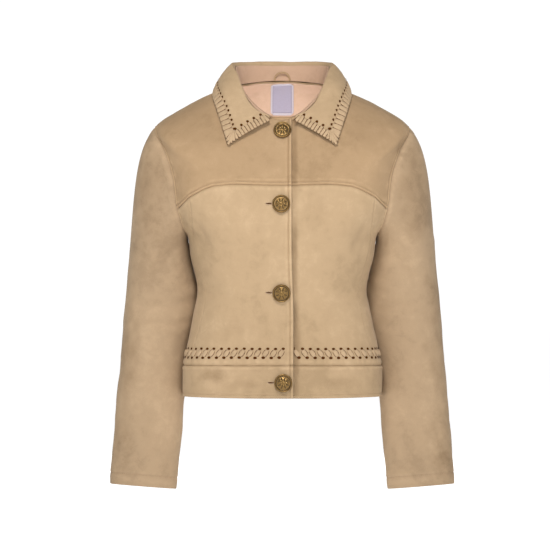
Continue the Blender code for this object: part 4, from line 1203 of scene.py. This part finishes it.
# The outermost points make a thin flange lying flat on the cloth, coloured as painted contact shadow
FLAT_LACE = ((-1.20, 0.05), (-0.97, 0.16), *LACE_TOP, (0.97, 0.16), (1.20, 0.05), (0.0, -0.1))
FAN_LACE = ((-1.38, 0.05), (-0.95, 0.16), *LACE_TOP, (0.95, 0.16), (1.38, 0.05), (0.0, -0.1))
THREAD_RADIUS = 0.30
STITCH_PITCH = 3.3
STITCH_LENGTH = 2.2
CONTACT_SHADOW_SIDES = (0, 7)              # sides of those sections coloured dark: painted contact shadow where the lace meets the cloth
THREAD_SECTION = ((-1.0, 0.0), (0.0, 1.0), (1.0, 0.0), (0.0, -0.6))
HEM_HOLES = (-437.9, -452.6)    # heights of the upper and lower row of holes
HEM_HOLE_SIZE = (2.75, 2.0)     # half width and half height
HEM_PITCH = 13.0
HEM_LEAN = 6.4
HEM_STARTS = {"right": -1.6, "left": 20.5}      # first loop, from the centre front
HEM_SEEDS = {"right": 7, "left": 8}
HEM_ANGLES = np.linspace(0.0, 180.0, 361)
HEM_ARCS = running_length(torso_base(HEM_ANGLES, float(place_at(0.01, sum(HEM_HOLES) / 2)[1])))


def hem_cloth(distance, z, side):
    """Point and normal of the cloth at a distance round from the centre front and a height."""
    angle = np.interp(np.abs(distance), HEM_ARCS, HEM_ANGLES) * np.sign(distance)
    sections = np.linspace(WAIST_SECTION, HEM, 60)
    section = np.interp(-z, -torso_base(0.0, sections)[:, 2], sections)
    base = torso_base(angle, section)
    press = 0.0
    if side == "left":
        press = lap_press(np.abs(base[..., 0]), base[..., 2]) * (np.abs(angle) < 90)
    return torso(angle, section, -press), torso_normal(angle, section)


def hem_loops(parts, holes, side, starts, random):
    """Flat thong loops from each lower hole up to the hole nearer the centre."""
    sign = -1.0 if side == "right" else 1.0
    high, low = HEM_HOLES
    t = np.linspace(0, 1, 11)
    bulge = np.sin(np.pi * t)
    for start in starts:
        jitter = random.uniform(-0.35, 0.35, 3)
        run = (start + HEM_LEAN * (1 - t) + jitter[0]) * sign
        points, normals = hem_cloth(run, low + 2.0 + (high - low - 4.0) * t + jitter[1], side)
        points = points + normals * (-0.7 + 1.05 * bulge ** 0.45)[:, None]
        across = unit(np.cross(unit(np.gradient(points, axis=0)), normals))
        half = (3.75 + 0.3 * jitter[2]) * (0.42 + 0.58 * np.sqrt(bulge))
        parts.tube(points, across, normals, half, 0.6 + 1.25 * np.sqrt(bulge), FLAT_LACE, CONTACT_SHADOW_SIDES)
        for place, z_hole, grow in ((start, high, 1.0), (start + HEM_LEAN, low, 1.1)):
            hole, normal = hem_cloth((place + jitter[0]) * sign, z_hole + jitter[1], side)
            down = np.array([0.0, 0.0, -1.0])
            down = unit(down - normal * (down @ normal))
            wide, long = HEM_HOLE_SIZE
            holes.disc(hole, np.cross(normal, down), down, normal, wide * grow, long * grow)


def build_hem_lacing():
    to_back = np.interp(SIDE_ANGLE, HEM_ANGLES, HEM_ARCS) - 5.0
    holes, back = Parts(), Parts()
    for side, first in HEM_STARTS.items():
        starts = np.arange(first, HEM_ARCS[-1] - 6.0 - HEM_LEAN, HEM_PITCH)
        front = Parts()
        for parts, chosen in ((front, starts < to_back), (back, starts >= to_back)):
            hem_loops(parts, holes, side, starts[chosen], np.random.default_rng(HEM_SEEDS[side]))
        front.finish("hem_thong_" + side, LACE, "lace", "hem_lace_" + side)
    back.finish("hem_thong_back", LACE, "lace", "hem_lace_back")
    holes.finish("hem_holes", HOLE_SHADE, "lace")


LEAF_HOLE_SIZE = (2.25, 2.7)    # half width, and half length away from the edge
EDGE_STEP = 2.5                 # the outline's direction is taken over this far each way
LEAF_FRONT_ROW = 9              # the leaf's row where its front edge comes out of the neck
REACH = {"edge": 17.4, "front": 14.5}           # from the leaf's edge to the lace's holes
HOLE_MARGIN = 1.7               # a strip ends this far short of its hole's middle
NEXT_REACH = 11.9               # every other strip along the front, without a hole of its own
FAN_FOOT = 20.0                 # a corner's shared hole lies this far round from the tip
FAN_RUNS = (-16.4, -10.6, -5.2, 0.01, 6.6, 13.2)
FRONT_START = 22.5
FRONT_PITCH = 5.9
EDGE_PITCH = 9.3
# Where a strip's lace lies: share of its reach and height over the face, then turns round the
# edge in degrees, then share and height on the underside
FACE_STOPS = ((1.0, -0.5), (0.95, 0.12), (0.86, 0.12), (0.70, 0.12), (0.5, 0.12), (0.32, 0.12),
              (0.14, 0.12), (0.03, 0.12))
EDGE_TURNS = (35.0, 90.0, 145.0)
UNDER_STOPS = ((0.05, 0.12), (0.3, 0.12), (0.6, 0.12), (0.9, 0.12), (1.0, -0.4))
EVEN_WIDTHS = (0.36, 0.62, 0.86, 0.97, 1, 1, 1, 1, 1, 1, 1, 1, 1, 0.85, 0.5, 0.3)
FAN_WIDTHS = (0.16, 0.18, 0.24, 0.38, 0.56, 0.74, 0.90, 1, 1, 1, 1, 1, 0.8, 0.5, 0.25, 0.2)
STRIP_THICK = (0.6, 0.8, 1.0, 1.1, 1.15, 1.15, 1.1, 1.1, 1.1, 1.1, 1.1, 1.1, 1.1, 1, 0.8, 0.6)
# Half width, its taper and the section of each kind of strip
STRIPS = {"edge": (4.35, EVEN_WIDTHS, FLAT_LACE), "front": (2.60, EVEN_WIDTHS, FAN_LACE),
          "fan": (2.35, FAN_WIDTHS, FAN_LACE)}


class LeafEdge:
    """The leaf's outline, from one front's neck end round its edge to the other's."""

    def __init__(self, leaf):
        normals = grid_normals(leaf)
        self.face, self.normals = leaf.reshape(-1, 3), normals.reshape(-1, 3)
        self.outline, self.ups = (
            np.concatenate([grid[LEAF_FRONT_ROW:, 0], grid[-1, 1:-1], grid[LEAF_FRONT_ROW:, -1][::-1]])
            for grid in (leaf, normals))
        self.lengths = running_length(self.outline)
        self.total = self.lengths[-1]
        self.tip = self.lengths[len(leaf) - LEAF_FRONT_ROW - 1]

    def at(self, run):
        """Point, normal and the direction over the face, away from the edge."""
        point = read_at(run, self.lengths, self.outline)
        ahead = read_at(min(run + EDGE_STEP, self.total), self.lengths, self.outline)
        behind = read_at(max(run - EDGE_STEP, 0), self.lengths, self.outline)
        normal = unit(read_at(run, self.lengths, self.ups))
        return point, normal, unit(np.cross(normal, unit(ahead - behind)))

    def hole(self, run, reach):
        point, _, inward = self.at(run)
        return point + inward * reach

    def nearest(self, target):
        """The outer face and its normal nearest to a point."""
        order = np.argsort(((self.face - target) ** 2).sum(1))[:4]
        gap = np.linalg.norm(self.face[order] - target, axis=1) + 0.3
        weight = (1 / gap ** 2)[:, None]
        normal = unit((self.normals[order] * weight).sum(0))
        point = (self.face[order] * weight).sum(0) / weight.sum()
        return target - normal * ((target - point) @ normal), normal

    def strips(self):
        """Each strip's place on the outline, its hole, its kind and whether it shows the hole."""
        for end, sign in ((self.tip, 1.0), (self.total - self.tip, -1.0)):
            corner = self.hole(end + sign * FAN_FOOT, REACH["edge"])
            for off in FAN_RUNS:
                yield end + sign * off, corner, "fan", off == FAN_RUNS[0]
            for run in np.arange(FRONT_START, self.tip - 3.0, 2 * FRONT_PITCH):
                for place, reach in ((run, REACH["front"]), (run + FRONT_PITCH, NEXT_REACH)):
                    place = end - sign * place
                    yield place, self.hole(place, reach), "front", reach == REACH["front"]
        first = self.tip + FAN_FOOT
        count = int(round((self.total - 2 * first) / EDGE_PITCH))
        for run in np.linspace(first, self.total - first, count + 1):
            yield run, self.hole(run, REACH["edge"]), "edge", True


def strip_path(edge, run, hole):
    """A strip's way from its hole over the edge to the hole's underside, and its directions."""
    point, normal, _ = edge.at(run)
    reach = np.linalg.norm(hole - point)
    direction = unit(hole - point)
    direction = unit(direction - normal * (direction @ normal))
    path, ups = [], []
    for share, lift in FACE_STOPS:
        surface, up = edge.nearest(point + direction * (reach - HOLE_MARGIN) * share)
        path.append(surface + up * lift)
        ups.append(up)
    outer = ups[-1]
    for turn in np.radians(EDGE_TURNS):
        up = outer * math.cos(turn) - direction * math.sin(turn)
        path.append(point - outer * COLLAR_CLOTH / 2 + up * (COLLAR_CLOTH / 2 + 0.15))
        ups.append(up)
    for share, lift in UNDER_STOPS:
        surface, up = edge.nearest(point + direction * reach * share)
        path.append(surface - up * (COLLAR_CLOTH + lift))
        ups.append(-up)
    return np.array(path), np.array(ups), direction


def build_collar_lacing():
    """Flat thong whipped over the leaf's edge, its strips side by side and fanned at the points."""
    edge = LeafEdge(GRIDS["collar_leaf"])
    laces = {"edge": Parts(), "front_left": Parts(), "front_right": Parts()}
    holes = Parts()
    for run, hole, kind, shown in edge.strips():
        path, ups, direction = strip_path(edge, run, hole)
        across = unit(np.cross(unit(np.gradient(path, axis=0)), ups))
        half, widths, section = STRIPS[kind]
        where = "edge"
        if run < edge.tip - 1:
            where = "front_left"
        elif run > edge.total - edge.tip + 1:
            where = "front_right"
        laces[where].tube(path, across, ups, half * np.array(widths), STRIP_THICK, section, CONTACT_SHADOW_SIDES)
        if shown:
            surface, up = edge.nearest(hole)
            holes.disc(surface, unit(np.cross(up, direction)), direction, up, *LEAF_HOLE_SIZE)
    for where, parts in laces.items():
        parts.finish("collar_thong_" + where, LACE, "lace", "collar_lace_" + where)
    holes.finish("collar_holes", HOLE_SHADE, "lace")


def line_at(points, side, off):
    """Points and normals at a distance from one side of a grid."""
    grids = (points, grid_normals(points), edge_distances(points)[side])
    if side in ("top", "bottom"):
        grids = (np.swapaxes(grid, 0, 1) for grid in grids)
    line, ups = [], []
    for p, n, d in zip(*grids):
        order = np.argsort(d)
        line.append(read_at(off, d[order], p[order]))
        ups.append(read_at(off, d[order], n[order]))
    return np.array(line), unit(np.array(ups))


def stitch(parts, line, ups, begin=0.0, end=1.0):
    """A row of stitches along a stretch of a line."""
    stretch = slice(int(len(line) * begin), int(len(line) * end))
    line, ups = line[stretch], ups[stretch]
    lengths = running_length(line)
    thin = THREAD_RADIUS * np.array([0.6, 1, 0.6])
    for start in np.arange(STITCH_PITCH / 2, lengths[-1] - STITCH_LENGTH, STITCH_PITCH):
        at = start + STITCH_LENGTH * np.array([0.0, 0.5, 1.0])
        path = read_at(at, lengths, line)
        up = unit(read_at(at, lengths, ups))
        across = unit(np.cross(unit(np.gradient(path, axis=0)), up))
        path = path + up * np.array([-0.18, 0.08, -0.18])[:, None]
        parts.tube(path, across, up, thin, thin, THREAD_SECTION)


# Stitch rows on a left piece: piece, edge, distance from it, and the stretch as shares of it
STITCH_ROWS = (("yoke", "bottom", SEAM_STITCH, 0.0, 1.0), ("yoke", "right", SEAM_STITCH, 0.46, 1.0),
               ("yoke", "left", EDGE_STITCH, 0.0, 1.0), ("front", "left", EDGE_STITCH, 0.0, 1.0),
               ("side_front", "right", SEAM_STITCH, 0.0, 0.25),
               ("waistband", "left", EDGE_STITCH, 0.0, 1.0),
               ("waistband", "bottom", EDGE_STITCH, 0.0, 1.0))


def build_stitching():
    for side in ("right", "left"):
        parts = Parts()
        for piece, edge, off, begin, end in STITCH_ROWS:
            if side == "right":
                edge = OTHER_SIDE.get(edge, edge)
            stitch(parts, *line_at(GRIDS[piece + "_" + side], edge, off), begin, end)
        sleeve = GRIDS["sleeve_" + side]
        ring = np.concatenate([sleeve, sleeve[:, :1]], 1)
        stitch(parts, *line_at(ring, "bottom", CUFF_STITCH))
        parts.finish("stitches_" + side, THREAD, "suede")
    parts = Parts()
    for edge in ("left", "right"):
        stitch(parts, *line_at(GRIDS["back"], edge, SEAM_STITCH), 0.25, BACK_HOLE)
    stitch(parts, *line_at(GRIDS["waistband_back"], "bottom", EDGE_STITCH))
    parts.finish("stitches_back", THREAD, "suede")


SLIT_SIZE = (4.8, 0.95)         # half length and half width of a buttonhole's slit
LIP_SIZE = (5.5, 1.6)           # the same for the middle of the thread worked round it
LIP_STEPS = 33


def build_buttonholes():
    """Worked slits in the upper front, their ends showing beside the buttons."""
    lips, slits = Parts(), Parts()
    turn = np.linspace(0, 2 * math.pi, LIP_STEPS)[:, None]
    half, thick = [0.75] * LIP_STEPS, [0.42] * LIP_STEPS
    for _, x, z in BUTTONS[1:]:
        angle, section = place_at(SLIT_OFF - x, z + 0.6)
        centre, normal = torso(-angle, section), torso_normal(-angle, section)
        wide = unit(np.array([1.0, 0.0, 0.0]) - normal * normal[0])
        tall = np.cross(normal, wide)
        # the slit is a dark disc of painted shade
        slits.disc(centre, wide, tall, normal, *SLIT_SIZE, lift=0.40)
        across = wide * np.cos(turn) + tall * np.sin(turn)
        path = centre + wide * np.cos(turn) * LIP_SIZE[0] + tall * np.sin(turn) * LIP_SIZE[1]
        lips.tube(path + normal * 0.10, unit(across), [normal] * LIP_STEPS, half, thick,
                  THREAD_SECTION)
    lips.finish("buttonhole_lips", THREAD, "suede")
    slits.finish("buttonhole_slits", HOLE_SHADE, "suede")


# --- Stage ------------------------------------------------------------------------------------

FLOOR_HEIGHT = -700.0
FLOOR_RADII = (2000.0, 8000.0, 40000.0)
FLOOR_SIDES = 96
SENSOR_WIDTH = 36.0
FOCAL_LENGTH = 476.0
CAMERA_PLACE = (-0.0119, -12.0, -0.317)         # in metres
# Lights in metres: place, what they aim at, size, power and colour
LIGHTS = {
    "key": ((-0.22, -2.0, 1.62), (0.0, 0.0, -0.24), (0.6, 0.6), 47.0, (1.0, 0.985, 0.96)),
    "fill": ((0.45, -3.4, 0.5), (0.0, 0.0, -0.20), (0.8, 0.8), 31.0, (1.0, 1.0, 1.0)),
    "top": ((0.0, -0.4, 2.2), (0.0, 0.0, -0.3), (1.2, 1.2), 3.0, (1.0, 1.0, 1.0)),
    "back": ((0.4, 3.4, 0.5), (0.0, 0.0, -0.30), (0.8, 0.8), 36.0, (1.0, 1.0, 1.0)),
    "inside": ((0.0, 0.0, -0.30), (0.0, 0.05, 0.0), (0.14, 0.10), 0.54, (1.0, 1.0, 1.0)),
}


def build_stage():
    """A wide pale floor under the cuffs."""
    look, _, _ = new_material("floor_white", Roughness=0.9, Specular_IOR_Level=0.0,
                              Base_Color=(0.55, 0.55, 0.55, 1.0), Emission_Strength=0.95,
                              Emission_Color=(1.0, 1.0, 1.0, 1.0))
    turns = np.linspace(0, 2 * math.pi, FLOOR_SIDES, endpoint=False)
    rings = [(radius * math.cos(t), radius * math.sin(t), FLOOR_HEIGHT)
             for radius in FLOOR_RADII for t in turns]
    faces = [tuple(range(FLOOR_SIDES))]
    faces += [face[::-1] for face in strip_faces(len(FLOOR_RADII), FLOOR_SIDES, True)]
    add_mesh("floor", rings, faces, look, smooth=False)


def build_lights():
    """Soft lights round the jacket, one inside it for its facing, and a white horizon."""
    for name, (place, aim, size, power, colour) in LIGHTS.items():
        lamp = bpy.data.lights.new(name, "AREA")
        lamp.shape = "RECTANGLE"
        lamp.size, lamp.size_y = size
        lamp.energy = power
        lamp.color = colour
        made = add_object(name, lamp)
        made.location = place
        made.rotation_euler = (Vector(aim) - Vector(place)).to_track_quat("-Z", "Y").to_euler()
    world = bpy.data.worlds.new("studio")
    world.use_nodes = True
    tree = world.node_tree
    sky = tree.nodes["Background"]
    sky.inputs["Color"].default_value = (1.0, 1.0, 1.0, 1.0)
    view = add_node(tree, "TexCoord").outputs["Generated"]
    height = add_node(tree, "SeparateXYZ", {0: view}).outputs["Z"]
    tree.links.new(map_range(tree, height, (0.05, 0.16), (1.05, 0.10)), sky.inputs["Strength"])
    bpy.context.scene.world = world


def build_camera():
    """A long lens far away, square on to the front."""
    lens = bpy.data.cameras.new("camera")
    lens.sensor_width = SENSOR_WIDTH
    lens.lens = FOCAL_LENGTH
    made = add_object("camera", lens)
    made.location = CAMERA_PLACE
    made.rotation_euler = (math.pi / 2, 0.0, 0.0)
    bpy.context.scene.camera = made


for body_side in ("right", "left"):
    build_yoke(body_side)
    build_front(body_side)
    build_side_front(body_side)
    build_sleeve(body_side)
build_back()
build_waistband()
build_collar()
build_neck_facing()
build_label()
build_hanger_loop()
for button_name, button_x, button_z in BUTTONS:
    build_button(button_name, button_x, button_z)
build_hem_lacing()
build_collar_lacing()
build_stitching()
build_buttonholes()

build_stage()
build_lights()
build_camera()
bpy.context.scene.view_settings.view_transform = "Standard"
